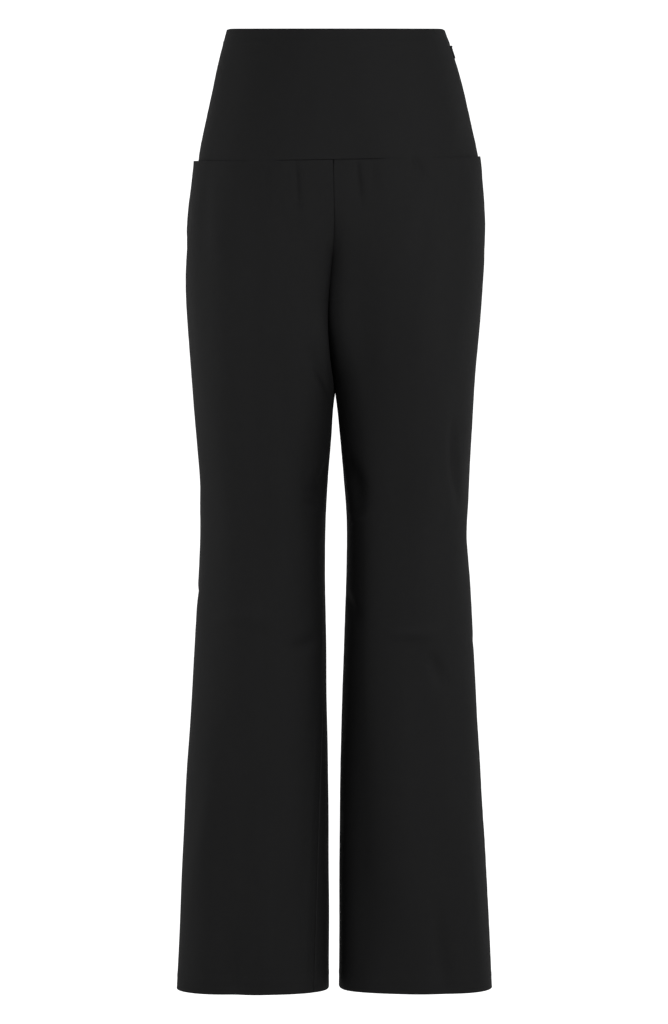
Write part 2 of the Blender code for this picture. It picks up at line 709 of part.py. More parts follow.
def add_pull(frame, finish, parent):
    """The pull tab: a forked drop-shaped plate on a pin through the slider's eye."""
    half = pull_outline()
    outline = half + [(-across, down) for across, down in half[-2::-1]]
    slot = TONGUE_THICK / 2 + FORK_CLEARANCE
    outline += [(-slot, -PIN_RADIUS * 2), (-slot, FORK_ROOT), (slot, FORK_ROOT), (slot, -PIN_RADIUS * 2)]
    form = bmesh.new()
    plate = form.faces.new([form.verts.new((-PULL_THICK / 2, y, -down)) for y, down in outline])
    grown = bmesh.ops.extrude_face_region(form, geom=[plate])
    raised = [item for item in grown["geom"] if isinstance(item, bmesh.types.BMVert)]
    bmesh.ops.translate(form, vec=(PULL_THICK, 0.0, 0.0), verts=raised)
    bmesh.ops.recalc_face_normals(form, faces=form.faces)
    mesh = bpy.data.meshes.new("zip_pull")
    form.to_mesh(mesh)
    form.free()
    pull = add_object("zip_pull", mesh, finish, None)
    pin = disc_form("pin", (0.0, 0.0, 0.0), PIN_RADIUS, PULL_NECK_WIDTH - PIN_RADIUS, finish, PIN_SIDES)
    boolean(pull, pin, "UNION")
    pull.parent = parent
    tilt = Matrix.Rotation(PULL_REST_TILT, 4, "Y")
    pull.matrix_world = frame @ Matrix.Translation((EYE_OUT, 0.0, 0.0)) @ tilt
    return pull


def main():
    """Clears the scene and builds every piece of the trousers."""
    for old in list(bpy.data.objects):
        bpy.data.objects.remove(old)
    waist = bpy.data.objects.new("trousers", None)
    bpy.context.scene.collection.objects.link(waist)
    twill = material("black_cloth", (0.016, 0.016, 0.017), 0.78, 0.0)
    pocketing = material("black_pocketing", (0.020, 0.020, 0.021), 0.70, 0.0)
    tape = material("black_tape", (0.014, 0.014, 0.015), 0.65, 0.0)
    metal = material("black_metal", (0.030, 0.032, 0.036), 0.38, 0.8)
    for face in ("front", "back"):
        add_yoke(face, twill, waist)
    for side in SIDES:
        for face in ("front", "back"):
            add_leg_panel(side, face, twill, waist)
        add_pocket_back(side, pocketing, waist)
    add_zip_tape(tape, waist)
    frame = zip_frame()
    add_slider(frame, metal, waist)
    add_pull(frame, metal, waist)


main()
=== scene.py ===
"""Looks of a pair of black straight-leg trousers with a deep hip yoke, in their hollow worn shape.

Metres, +Z up. The front faces -Y, the wearer's left side is +X, and the origin is the middle of the
waist opening. A "depth" is a distance below the waist edge, measured down the side seams. "Ahead" is a
distance along the cloth in front of the side seam, and below 0 it is behind it. Each half of the
garment is worked out in an outward x of its own, from its front edge round the side to its back edge,
and the right half is then mirrored.
"""

import json
import logging
import math
from dataclasses import dataclass, field
from enum import Enum

import bmesh
import bpy
import numpy as np
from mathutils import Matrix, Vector

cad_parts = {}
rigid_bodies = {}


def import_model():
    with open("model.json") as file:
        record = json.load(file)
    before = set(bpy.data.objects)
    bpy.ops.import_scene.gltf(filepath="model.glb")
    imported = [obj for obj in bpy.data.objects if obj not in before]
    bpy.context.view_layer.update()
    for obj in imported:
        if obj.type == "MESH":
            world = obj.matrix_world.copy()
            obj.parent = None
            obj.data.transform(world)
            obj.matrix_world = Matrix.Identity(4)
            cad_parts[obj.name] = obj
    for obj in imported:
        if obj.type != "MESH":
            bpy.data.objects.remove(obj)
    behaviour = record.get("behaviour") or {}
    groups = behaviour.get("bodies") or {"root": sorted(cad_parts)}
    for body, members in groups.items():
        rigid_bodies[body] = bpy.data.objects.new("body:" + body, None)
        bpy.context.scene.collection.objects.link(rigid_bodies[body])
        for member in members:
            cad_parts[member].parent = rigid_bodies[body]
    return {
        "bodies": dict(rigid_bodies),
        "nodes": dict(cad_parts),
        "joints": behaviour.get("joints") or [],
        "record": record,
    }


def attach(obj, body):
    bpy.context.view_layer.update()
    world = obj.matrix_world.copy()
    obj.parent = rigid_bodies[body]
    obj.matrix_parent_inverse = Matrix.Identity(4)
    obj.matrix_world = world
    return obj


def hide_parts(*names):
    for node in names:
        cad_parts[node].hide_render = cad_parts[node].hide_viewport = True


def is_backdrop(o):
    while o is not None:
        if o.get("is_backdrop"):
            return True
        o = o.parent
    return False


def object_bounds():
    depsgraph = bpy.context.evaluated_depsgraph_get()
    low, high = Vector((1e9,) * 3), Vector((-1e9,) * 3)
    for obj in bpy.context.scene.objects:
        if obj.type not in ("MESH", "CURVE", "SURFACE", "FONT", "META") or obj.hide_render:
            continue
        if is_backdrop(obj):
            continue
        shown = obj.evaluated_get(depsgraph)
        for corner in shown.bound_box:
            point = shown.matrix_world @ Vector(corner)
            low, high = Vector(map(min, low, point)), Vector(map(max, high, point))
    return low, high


Array = np.ndarray
LOG = logging.getLogger("trousers")


class Half(Enum):
    """The two halves of the garment, named from the wearer."""

    RIGHT = "right"
    LEFT = "left"

    @property
    def sign(self) -> float:
        """Turns a half's outward x into the garment's x."""
        return 1.0 if self is Half.LEFT else -1.0


class Face(Enum):
    """The front and the back of a half."""

    FRONT = "front"
    BACK = "back"

    @property
    def toward(self) -> float:
        """The direction along y in which the face looks."""
        return -1.0 if self is Face.FRONT else 1.0


def ease(t: Array | float) -> Array:
    """A smooth step, 3 t squared less 2 t cubed, with t held between 0 and 1.

    Args:
        t: how far along the step each point is.

    Returns:
        The height of the step, from 0 to 1.
    """
    t = np.clip(t, 0.0, 1.0)
    return t * t * (3 - 2 * t)


@dataclass(frozen=True)
class Table:
    """Named columns of sizes against depth, joined by a smooth curve through the rows."""

    columns: tuple[str, ...]
    rows: tuple[tuple[float, ...], ...]

    def at(self, name: str, depth: Array | float) -> Array:
        """Reads a column at each depth, on cubic pieces whose slopes agree at the rows.

        Args:
            name: the column.
            depth: depths below the waist edge.

        Returns:
            The column's values, in the shape of depth.
        """
        rows = np.array(self.rows)
        knots = rows[:, 0]
        values = rows[:, self.columns.index(name)]
        slopes = np.gradient(values, knots)
        depth = np.clip(depth, knots[0], knots[-1])
        low = np.clip(np.searchsorted(knots, depth, side="right") - 1, 0, len(knots) - 2)
        span = knots[low + 1] - knots[low]
        t = (depth - knots[low]) / span
        rise = values[low + 1] - values[low]
        bend_in = slopes[low] * span - rise
        bend_out = rise - slopes[low + 1] * span
        return values[low] + t * rise + t * (1 - t) * ((1 - t) * bend_in + t * bend_out)


# Half-widths of the outline seen from the front, without the pockets' stand
OUTLINE = Table(
    ("depth", "right", "left"),
    (
        (0.000, 0.1245, 0.1271),
        (0.036, 0.1334, 0.1384),
        (0.071, 0.1410, 0.1481),
        (0.106, 0.1489, 0.1560),
        (0.140, 0.1556, 0.1637),
        (0.156, 0.1575, 0.1666),
        (0.179, 0.1610, 0.1692),
        (0.207, 0.1657, 0.1720),
        (0.235, 0.1691, 0.1736),
        (0.262, 0.1709, 0.1736),
        (0.290, 0.1717, 0.1720),
        (0.318, 0.1706, 0.1698),
        (0.346, 0.1686, 0.1674),
        (0.401, 0.1650, 0.1627),
        (0.475, 0.1596, 0.1577),
        (0.521, 0.1566, 0.1551),
        (0.567, 0.1551, 0.1539),
        (0.613, 0.1562, 0.1547),
        (0.706, 0.1609, 0.1598),
        (0.775, 0.1647, 0.1636),
        (0.890, 0.1717, 0.1694),
        (1.006, 0.1773, 0.1768),
        (1.105, 0.1820, 0.1816),
    ),
)

# Profile seen from the side: how far the front and the back reach, where the widest line of the
# section runs, and how far out the foremost and the rearmost lines of each half lie
PROFILE = Table(
    ("depth", "front", "back", "middle", "front_crest", "back_crest"),
    (
        (0.000, 0.0880, 0.0860, 0.000, 0.006, 0.006),
        (0.071, 0.0975, 0.1000, 0.001, 0.009, 0.012),
        (0.150, 0.1045, 0.1190, 0.003, 0.017, 0.032),
        (0.207, 0.1050, 0.1260, 0.004, 0.034, 0.052),
        (0.262, 0.1030, 0.1240, 0.005, 0.055, 0.066),
        (0.320, 0.0990, 0.1140, 0.005, 0.073, 0.077),
        (0.373, 0.0955, 0.1045, 0.005, 0.080, 0.081),
        (0.475, 0.0860, 0.0905, 0.003, 0.084, 0.083),
        (0.567, 0.0765, 0.0790, 0.001, 0.084, 0.083),
        (0.660, 0.0715, 0.0735, 0.001, 0.086, 0.084),
        (0.775, 0.0680, 0.0710, 0.001, 0.088, 0.086),
        (0.960, 0.0640, 0.0675, 0.001, 0.092, 0.090),
        (1.105, 0.0625, 0.0650, 0.001, 0.095, 0.093),
    ),
)

# How square each quarter of a section is: 2 is an ellipse, more is squarer
ROUNDING = Table(
    ("depth", "outer_front", "outer_back", "inner_front_right", "inner_front_left", "inner_back"),
    (
        (0.000, 2.05, 2.05, 2.0, 2.0, 2.0),
        (0.150, 2.25, 2.15, 2.1, 2.1, 2.1),
        (0.262, 2.25, 2.15, 4.0, 3.8, 2.8),
        (0.330, 2.20, 2.15, 4.6, 4.4, 3.0),
        (0.475, 2.15, 2.15, 3.4, 3.3, 2.8),
        (0.613, 2.15, 2.15, 2.5, 2.4, 2.3),
        (0.706, 2.20, 2.15, 2.5, 2.3, 2.3),
        (0.775, 2.25, 2.20, 2.5, 2.1, 2.3),
        (0.890, 2.35, 2.25, 2.5, 2.1, 2.3),
        (1.105, 2.60, 2.35, 2.6, 2.5, 2.4),
    ),
)

# Where the two halves part, at the front and at the back, and how far the centre seams sink between
# the legs: 0 is level with the cloth, 1 is the crotch
CENTRE = Table(
    ("depth", "front_line", "back_line", "front_cleft", "back_cleft"),
    (
        (0.000, -0.0014, 0.0012, 0.0002, 0.0002),
        (0.150, -0.0014, 0.0012, 0.0006, 0.0020),
        (0.179, -0.0010, 0.0012, 0.0030, 0.0080),
        (0.207, -0.0004, 0.0012, 0.0120, 0.0220),
        (0.235, -0.0004, 0.0008, 0.0420, 0.0560),
        (0.262, -0.0020, -0.0010, 0.1150, 0.1250),
        (0.280, -0.0036, -0.0032, 0.2200, 0.2200),
        (0.296, -0.0050, -0.0050, 0.4000, 0.3800),
        (0.308, -0.0060, -0.0060, 0.6100, 0.5800),
        (0.315, -0.0064, -0.0064, 0.7900, 0.7700),
        (0.320, -0.0067, -0.0067, 1.0000, 1.0000),
        (0.328, -0.0071, -0.0062, 1.0000, 1.0000),
        (0.347, -0.0075, -0.0026, 1.0000, 1.0000),
        (0.369, -0.0064, 0.0024, 1.0000, 1.0000),
        (0.390, -0.0045, 0.0044, 1.0000, 1.0000),
        (0.410, -0.0016, 0.0034, 1.0000, 1.0000),
        (0.425, 0.0000, 0.0010, 1.0000, 1.0000),
        (0.460, 0.0000, 0.0000, 1.0000, 1.0000),
    ),
)

# Distance from the parting line to the innermost line of each leg; below 0 the thighs press
INNER = Table(
    ("depth", "right", "left"),
    (
        (0.150, 0.0000, 0.0000),
        (0.207, -0.0040, -0.0045),
        (0.262, -0.0100, -0.0110),
        (0.320, -0.0110, -0.0120),
        (0.362, -0.0100, -0.0110),
        (0.395, -0.0050, -0.0060),
        (0.413, -0.0014, -0.0014),
        (0.422, 0.0000, 0.0002),
        (0.429, 0.0008, 0.0014),
        (0.475, 0.0040, 0.0068),
        (0.521, 0.0077, 0.0108),
        (0.567, 0.0102, 0.0139),
        (0.613, 0.0110, 0.0139),
        (0.706, 0.0096, 0.0113),
        (0.775, 0.0088, 0.0090),
        (0.890, 0.0073, 0.0063),
        (1.105, 0.0059, 0.0048),
    ),
)

# How far the seams have turned round each leg: the inseam towards the front, the side seam
# towards the back
TURN = Table(
    ("depth", "inseam_right", "inseam_left", "side_right", "side_left"),
    (
        (0.000, 0.000, 0.000, 0.000, -0.012),
        (0.150, 0.000, 0.000, 0.000, -0.008),
        (0.320, 0.000, 0.000, 0.004, 0.000),
        (0.560, 0.008, -0.004, 0.008, 0.002),
        (0.705, 0.022, -0.010, 0.012, 0.002),
        (0.850, 0.037, -0.014, 0.018, 0.000),
        (1.060, 0.049, -0.016, 0.026, 0.000),
        (1.105, 0.051, -0.016, 0.028, 0.000),
    ),
)

# How the level lines of the cloth lean down to the front, rise to the back and roll to one side
LEAN = Table(
    ("depth", "front", "back", "roll", "side_dip"),
    (
        (0.000, 0.1570, 0.0700, 0.000, 0.0020),
        (0.030, 0.1490, 0.0700, 0.003, 0.0000),
        (0.151, 0.1180, 0.0500, 0.0172, 0.0000),
        (0.200, 0.0800, 0.0300, 0.010, 0.0000),
        (0.260, 0.0300, 0.0100, 0.002, 0.0000),
        (0.310, 0.0000, 0.0000, 0.000, 0.0000),
        (0.980, 0.0000, 0.0000, 0.000, 0.0000),
        (1.105, 0.0000, 0.0000, 0.003, 0.0000),
    ),
)


@dataclass(frozen=True)
class Fold:
    """A large soft fold, as in the solids: it runs down one face of a half, at an outward x."""

    face: Face
    top_x: float
    end_x: float
    top: float
    end: float
    spread: float
    height: float


FOLDS = {
    Half.RIGHT: (
        Fold(Face.FRONT, 0.114, 0.100, 0.130, 0.640, 0.020, -0.0042),
        Fold(Face.FRONT, 0.126, 0.116, 0.780, 1.140, 0.020, -0.0050),
        Fold(Face.FRONT, 0.078, 0.090, 0.600, 1.160, 0.020, 0.0032),
        Fold(Face.FRONT, 0.030, 0.024, 0.460, 0.600, 0.012, -0.0020),
        Fold(Face.BACK, 0.060, 0.044, 0.280, 0.450, 0.020, -0.0040),
        Fold(Face.BACK, 0.102, 0.096, 0.420, 1.140, 0.022, 0.0030),
        Fold(Face.BACK, 0.060, 0.066, 0.560, 1.080, 0.018, -0.0026),
    ),
    Half.LEFT: (
        Fold(Face.FRONT, 0.146, 0.134, 0.105, 0.270, 0.013, -0.0026),
        Fold(Face.FRONT, 0.070, 0.086, 0.680, 1.160, 0.018, 0.0020),
        Fold(Face.FRONT, 0.112, 0.128, 0.700, 1.150, 0.020, -0.0024),
        Fold(Face.FRONT, 0.030, 0.050, 0.320, 0.520, 0.020, -0.0026),
        Fold(Face.BACK, 0.068, 0.050, 0.290, 0.480, 0.022, -0.0040),
        Fold(Face.BACK, 0.088, 0.100, 0.470, 1.150, 0.022, 0.0030),
        Fold(Face.BACK, 0.130, 0.138, 0.560, 1.100, 0.020, -0.0026),
    ),
}


@dataclass(frozen=True)
class Crease:
    """A small soft crease between two points of a half's cloth, each given as ahead and depth.

    Its middle bows aside by bow, its height fades to nothing at both ends, and a height below 0
    is a trough. It is fullest at the share peak of its length.
    """

    start: tuple[float, float]
    end: tuple[float, float]
    bow: float
    width: float
    height: float
    peak: float


# Start, end, bow, width, height and peak of each crease
CREASE_ROWS = {
    Half.RIGHT: (
        # Front
        ((0.172, 0.149), (0.194, 0.242), 0.002, 0.0036, -0.0020, 0.30),
        ((0.134, 0.150), (0.152, 0.202), 0.001, 0.0042, -0.0011, 0.30),
        ((0.236, 0.432), (0.203, 0.368), 0.004, 0.0065, -0.0035, 0.35),
        ((0.240, 0.498), (0.186, 0.552), 0.004, 0.0105, -0.0046, 0.45),
        ((0.228, 0.550), (0.172, 0.550), 0.002, 0.0032, -0.0017, 0.45),
        ((0.155, 0.410), (0.128, 0.630), 0.005, 0.0120, 0.0022, 0.55),
        ((0.070, 0.682), (0.166, 0.694), 0.006, 0.0090, 0.0011, 0.40),
        ((0.150, 0.716), (0.214, 0.700), -0.004, 0.0080, -0.0020, 0.60),
        ((0.156, 0.930), (0.160, 1.125), 0.003, 0.0095, 0.0022, 0.60),
        ((0.122, 1.020), (0.137, 1.125), 0.002, 0.0090, -0.0024, 0.65),
        ((0.190, 0.250), (0.168, 0.480), 0.006, 0.0140, 0.0020, 0.40),
        ((0.062, 0.168), (0.104, 0.320), -0.006, 0.0120, -0.0018, 0.35),
        ((0.086, 0.820), (0.060, 1.060), 0.004, 0.0130, 0.0012, 0.50),
        # Side seam
        ((0.030, 0.200), (-0.030, 0.330), 0.004, 0.0110, -0.0022, 0.40),
        ((-0.030, 0.420), (0.020, 0.560), 0.005, 0.0110, -0.0024, 0.50),
        ((0.034, 0.640), (-0.040, 0.672), 0.004, 0.0070, -0.0022, 0.50),
        ((-0.020, 0.720), (0.010, 1.000), 0.005, 0.0140, 0.0012, 0.50),
        # Back
        ((-0.200, 0.352), (-0.118, 0.412), -0.006, 0.0090, -0.0053, 0.40),
        ((-0.206, 0.396), (-0.132, 0.462), -0.005, 0.0080, -0.0035, 0.40),
        ((-0.236, 0.450), (-0.176, 0.534), -0.004, 0.0070, -0.0031, 0.45),
        ((-0.184, 0.610), (-0.086, 0.628), 0.004, 0.0080, 0.0022, 0.55),
        ((-0.176, 0.652), (-0.078, 0.640), -0.004, 0.0075, -0.0031, 0.45),
        ((-0.166, 0.694), (-0.096, 0.702), 0.003, 0.0070, -0.0022, 0.50),
        ((-0.096, 0.158), (-0.132, 0.290), 0.004, 0.0120, -0.0020, 0.40),
        ((-0.128, 0.720), (-0.110, 1.125), 0.006, 0.0150, 0.0035, 0.50),
        ((-0.168, 0.980), (-0.176, 1.125), 0.002, 0.0100, -0.0029, 0.65),
        ((-0.070, 1.000), (-0.076, 1.125), 0.002, 0.0100, -0.0022, 0.65),
    ),
    Half.LEFT: (
        # Front
        ((0.191, 0.149), (0.199, 0.222), 0.001, 0.0036, -0.0020, 0.35),
        ((0.173, 0.149), (0.183, 0.205), 0.000, 0.0042, -0.0009, 0.30),
        ((0.1255, 0.140), (0.118, 0.182), 0.001, 0.0042, -0.0021, 0.50),
        ((0.212, 0.215), (0.177, 0.600), 0.003, 0.0250, -0.0056, 0.45),
        ((0.234, 0.486), (0.170, 0.562), -0.004, 0.0120, -0.0050, 0.50),
        ((0.214, 0.566), (0.156, 0.568), 0.002, 0.0045, 0.0018, 0.45),
        ((0.228, 0.644), (0.168, 0.688), 0.002, 0.0090, -0.0024, 0.45),
        ((0.152, 0.697), (0.074, 0.694), 0.003, 0.0060, 0.0012, 0.45),
        ((0.096, 0.715), (0.076, 0.770), 0.001, 0.0085, -0.0024, 0.45),
        ((0.082, 0.445), (0.048, 0.566), 0.003, 0.0070, -0.0037, 0.50),
        ((0.112, 0.330), (0.092, 0.600), -0.005, 0.0130, 0.0020, 0.50),
        ((0.120, 0.190), (0.150, 0.350), 0.004, 0.0120, -0.0015, 0.40),
        ((0.180, 0.730), (0.172, 1.220), 0.002, 0.0380, -0.0062, 0.60),
        ((0.066, 0.850), (0.050, 1.120), -0.004, 0.0120, 0.0024, 0.55),
        ((0.100, 0.960), (0.092, 1.125), 0.002, 0.0090, -0.0022, 0.60),
        # Side seam
        ((0.020, 0.230), (-0.036, 0.350), -0.004, 0.0110, -0.0022, 0.40),
        ((-0.020, 0.480), (0.030, 0.640), -0.004, 0.0110, -0.0024, 0.50),
        ((0.020, 0.700), (-0.050, 0.728), 0.004, 0.0070, -0.0022, 0.50),
        ((0.010, 0.780), (-0.024, 1.060), 0.005, 0.0140, 0.0012, 0.50),
        # Back
        ((-0.198, 0.360), (-0.112, 0.424), -0.006, 0.0090, -0.0053, 0.45),
        ((-0.208, 0.410), (-0.140, 0.486), -0.004, 0.0080, -0.0033, 0.40),
        ((-0.232, 0.470), (-0.182, 0.540), -0.004, 0.0070, -0.0029, 0.45),
        ((-0.190, 0.632), (-0.094, 0.612), -0.004, 0.0080, 0.0022, 0.45),
        ((-0.180, 0.656), (-0.080, 0.664), 0.005, 0.0075, -0.0033, 0.50),
        ((-0.160, 0.706), (-0.090, 0.700), 0.003, 0.0070, -0.0020, 0.50),
        ((-0.104, 0.158), (-0.140, 0.300), 0.004, 0.0120, -0.0020, 0.40),
        ((-0.112, 0.740), (-0.122, 1.125), -0.006, 0.0150, 0.0033, 0.50),
        ((-0.160, 1.000), (-0.150, 1.125), 0.002, 0.0100, -0.0026, 0.65),
        ((-0.060, 0.960), (-0.068, 1.125), 0.002, 0.0100, -0.0022, 0.60),
    ),
}
CREASES = {half: tuple(Crease(*row) for row in rows) for half, rows in CREASE_ROWS.items()}


@dataclass(frozen=True)
class Waves:
    """An uneven wave: a sum of plain waves whose lengths share no common length."""

    lengths: tuple[float, ...] = (0.0113, 0.0171, 0.0293, 0.0437)
    shares: tuple[float, ...] = (0.20, 0.32, 0.28, 0.20)
    first_turn: float = 1.7

    def at(self, distance: Array, phase: float) -> Array:
        """Sums sines of the distance over each length, each with a phase of its own.

        Args:
            distance: distance along a seam.
            phase: what sets this seam's wave apart from the next one's.

        Returns:
            Heights between -1 and 1.
        """
        turns = zip(self.lengths, self.shares)
        return sum(
            share * np.sin(2 * math.pi * distance / length + phase * (order + self.first_turn))
            for order, (length, share) in enumerate(turns)
        )


@dataclass
class Patch:
    """A grid of points on a half's cloth, rows down and columns round, with what lies there."""

    half: Half
    depth: Array
    ahead: Array
    points: Array
    normals: Array

    @property
    def flat(self) -> Array:
        """Places on the flat cut: ahead of the side seam and up from the waist edge."""
        return np.stack([self.ahead, -self.depth], axis=-1)

    def in_garment(self, points: Array) -> Array:
        """Turns points from the half's outward x to the garment's x."""
        return points * np.array([self.half.sign, 1.0, 1.0])

    def skin(self, height: Array) -> Array:
        """Points at a height over the cloth, in the garment's x."""
        return self.in_garment(self.points + self.normals * height[..., None])


@dataclass(frozen=True)
class WornForm:
    """The hollow shape that the cloth takes: plan sections of each half, stacked by depth."""

    yoke_depth: float = 0.1508
    crotch_depth: float = 0.320
    hem_depth: float = 1.1055
    front_line_y: float = -0.050
    back_line_y: float = 0.050
    least_cleft: float = 0.0002
    leg_gap: float = 0.00003
    seam_lap: float = 0.0004
    lap_fade: float = 0.020
    side_dip_width: float = 0.018
    parting_top: float = 0.150
    parting_end: float = 0.460
    parting_softness: float = 0.0002
    reach_power: float = 12.0
    press_reach: float = 0.010
    crotch_fade: float = 0.025
    arc_points: int = 260
    tangent_step: float = 0.0012
    reach_smoothing: float = 0.070
    row_stride: float = 10.0
    fold_blend: float = 0.012
    down_step: float = 0.0008

    def parting(self, y: Array, depth: Array) -> Array:
        """Where the halves part: a line that eases from its front place to its back place.

        Args:
            y: place from front to back.
            depth: depth of each point.

        Returns:
            The garment's x of the line.
        """
        share = ease((y - self.front_line_y) / (self.back_line_y - self.front_line_y))
        front = CENTRE.at("front_line", depth)
        return front + share * (CENTRE.at("back_line", depth) - front)

    def gap(self, depth: Array) -> Array:
        """Half the gap between the thighs where they press; the centre seams above lap a little."""
        under_yoke = np.clip((depth - self.yoke_depth) / self.lap_fade, 0.0, 1.0)
        over_crotch = np.clip((self.crotch_depth - depth) / self.lap_fade, 0.0, 1.0)
        lap = self.seam_lap * under_yoke * over_crotch
        return np.where(depth > self.crotch_depth, self.leg_gap, -lap)

    def freedom(self, patch: Patch) -> Array:
        """How free the cloth is of the other half: 0 where the two press, 1 a little way out.

        Args:
            patch: the cloth.

        Returns:
            Shares from 0 to 1, rows by columns.
        """
        limit = patch.half.sign * self.parting(patch.points[..., 1], patch.depth)
        free = ease((patch.points[..., 0] - limit) / self.press_reach)
        share = ease((patch.depth - self.parting_top) / self.press_reach)
        share = share * ease((self.parting_end - patch.depth) / self.press_reach)
        return 1 - share * (1 - free)

    def lift(self, patch: Patch, to_edge: Array) -> Array:
        """Directions along which seams sink: the normals, but for the seams near and above the crotch.

        There the two halves share the seam, so what of the normal points to the other half is left
        out near it, and the halves still meet where they face each other in the cleft.

        Args:
            patch: the cloth.
            to_edge: distance from the centre seam or inseam.

        Returns:
            Directions, rows by columns by 3.
        """
        below = ease((patch.depth - self.crotch_depth) / self.crotch_fade)
        shared = (1 - below) * (1 - ease(to_edge / self.press_reach))
        return patch.normals * np.stack([1 - shared, np.ones_like(shared), np.ones_like(shared)], axis=-1)

    def quarter(self, power: Array, first: Array, last: Array) -> tuple[Array, Array]:
        """A squared unit circle: each radius is the cosine and the sine to a power, summed, to -1/power.

        Args:
            power: squareness of each row, 2 for a circle.
            first: angle at the start of each row.
            last: angle at the end of each row.

        Returns:
            Places across and along, rows by points.
        """
        share = np.linspace(0.0, 1.0, self.arc_points)
        angle = first + (last - first) * share
        across = np.cos(angle)
        along = np.sin(angle)
        radius = (np.abs(across) ** power + np.abs(along) ** power) ** (-1 / power)
        return radius * across, radius * along

    def inner_quarter(self, half: Half, face: Face, depth: Array) -> tuple[Array, Array]:
        """The quarter of each section next to the other half, from its inner edge to its crest.

        Above the crotch it stops at the parting line, as deep as the cleft there. Below the crotch it
        goes on to the innermost line of the leg. Where the thighs press, that line lies past the
        parting line, so the section is cut short there and the two thighs meet in a shallow valley.

        Args:
            half: the half.
            face: the front or the back.
            depth: a column of depths.

        Returns:
            Outward x and y of the points, rows by points.
        """
        middle = PROFILE.at("middle", depth)
        crest = PROFILE.at(face.value + "_crest", depth)
        reach_y = face.toward * PROFILE.at(face.value, depth) - middle
        column = "inner_back" if face is Face.BACK else "inner_front_" + half.value
        power = ROUNDING.at(column, depth)
        below = depth >= self.crotch_depth
        sunk = np.where(below, 1.0, CENTRE.at(face.value + "_cleft", depth))
        end_y = 1.0 - np.clip(sunk, self.least_cleft, 1.0)
        end_x = (1.0 - end_y ** power) ** (1 / power)
        edge = half.sign * self.parting(middle + reach_y * end_y, depth) + self.gap(depth)
        pressed = crest - edge - INNER.at(half.value, depth)
        sewn = (crest - edge) / end_x
        shared = (sewn ** self.reach_power + pressed ** self.reach_power) ** (1 / self.reach_power)
        reach_x = np.where(below, pressed, shared)
        across, along = self.quarter(power, np.arctan2(end_y, end_x), math.pi / 2)
        return crest - reach_x * across, middle + reach_y * along

    def outer_quarter(self, half: Half, face: Face, depth: Array) -> tuple[Array, Array]:
        """The quarter of each section from its crest to the side.

        Args:
            half: the half.
            face: the front or the back.
            depth: a column of depths.

        Returns:
            Outward x and y of the points, rows by points.
        """
        middle = PROFILE.at("middle", depth)
        crest = PROFILE.at(face.value + "_crest", depth)
        reach_x = OUTLINE.at(half.value, depth) - crest
        reach_y = face.toward * PROFILE.at(face.value, depth) - middle
        power = ROUNDING.at("outer_" + face.value, depth)
        across, along = self.quarter(power, math.pi / 2, 0.0)
        return crest + reach_x * across, middle + reach_y * along

    def section(self, half: Half, depths: Array) -> tuple[Array, Array, Array, Array]:
        """Half plan sections: four quarters in a row, softly held back at the parting line.

        Args:
            half: the half.
            depths: one depth for each section.

        Returns:
            Outward x, y and distance along the section, rows by points, and the distance at the side.
        """
        depth = depths[:, None]
        front = [self.inner_quarter(half, Face.FRONT, depth), self.outer_quarter(half, Face.FRONT, depth)]
        back = [self.outer_quarter(half, Face.BACK, depth), self.inner_quarter(half, Face.BACK, depth)]
        x, y = (
            np.concatenate(
                [front[0][k], front[1][k][:, 1:], back[0][k][:, -2::-1], back[1][k][:, -2::-1]], axis=1
            )
            for k in (0, 1)
        )
        limit = half.sign * self.parting(y, depth) + self.gap(depth)
        held = limit + self.parting_softness * np.logaddexp(0.0, (x - limit) / self.parting_softness)
        pressed = (self.parting_top < depth) & (depth < self.parting_end)
        x = np.where(pressed, held, x)
        steps = np.hypot(np.diff(x, axis=1), np.diff(y, axis=1))
        distance = np.concatenate([np.zeros_like(depth), np.cumsum(steps, axis=1)], axis=1)
        return x, y, distance, distance[:, 2 * self.arc_points - 2]

    def place(self, half: Half, depths: Array, along: Array) -> Array:
        """Points at distances along each row's section; below the crotch the distances wrap round.

        All rows are read in one go, each row set a long stride past the one before.

        Args:
            half: the half.
            depths: one depth for each row.
            along: distances along the sections, rows by columns.

        Returns:
            Points in the half's outward x, rows by columns by 3.
        """
        x, y, distance, _ = self.section(half, depths)
        total = distance[:, -1:]
        held = np.clip(along, 0.0, total)
        wrapped = np.where(depths[:, None] > self.crotch_depth, np.mod(along, total), held)
        stride = np.arange(len(depths))[:, None] * self.row_stride
        at = (wrapped + stride).ravel()
        known = (distance + stride).ravel()
        px = np.interp(at, known, x.ravel()).reshape(along.shape)
        py = np.interp(at, known, y.ravel()).reshape(along.shape)
        return np.stack([px, py, self.level(half, depths[:, None], px, py)], axis=-1)

    def level(self, half: Half, depth: Array, x: Array, y: Array) -> Array:
        """Height of the cloth: minus the depth, plus a lean with y, a roll with x and a dip at the sides.

        Args:
            half: the half.
            depth: depth of each row.
            x: outward x of the points.
            y: y of the points.

        Returns:
            z of the points.
        """
        lean = np.where(y < 0, LEAN.at("front", depth), LEAN.at("back", depth))
        roll = LEAN.at("roll", depth) * half.sign * x
        dip = LEAN.at("side_dip", depth) * np.exp(-((y / self.side_dip_width) ** 2))
        return -depth + lean * y + roll - dip

    def seams(self, half: Half, depths: Array) -> Array:
        """Distances along each section at which the inseam, the side seam and the inseam again lie.

        Args:
            half: the half.
            depths: one depth for each row.

        Returns:
            Three columns of distances.
        """
        _, _, distance, at_side = self.section(half, depths)
        inseam = np.where(depths > self.crotch_depth, TURN.at("inseam_" + half.value, depths), 0.0)
        side_seam = at_side + TURN.at("side_" + half.value, depths)
        return np.stack([inseam, side_seam, distance[:, -1] + inseam], axis=1)

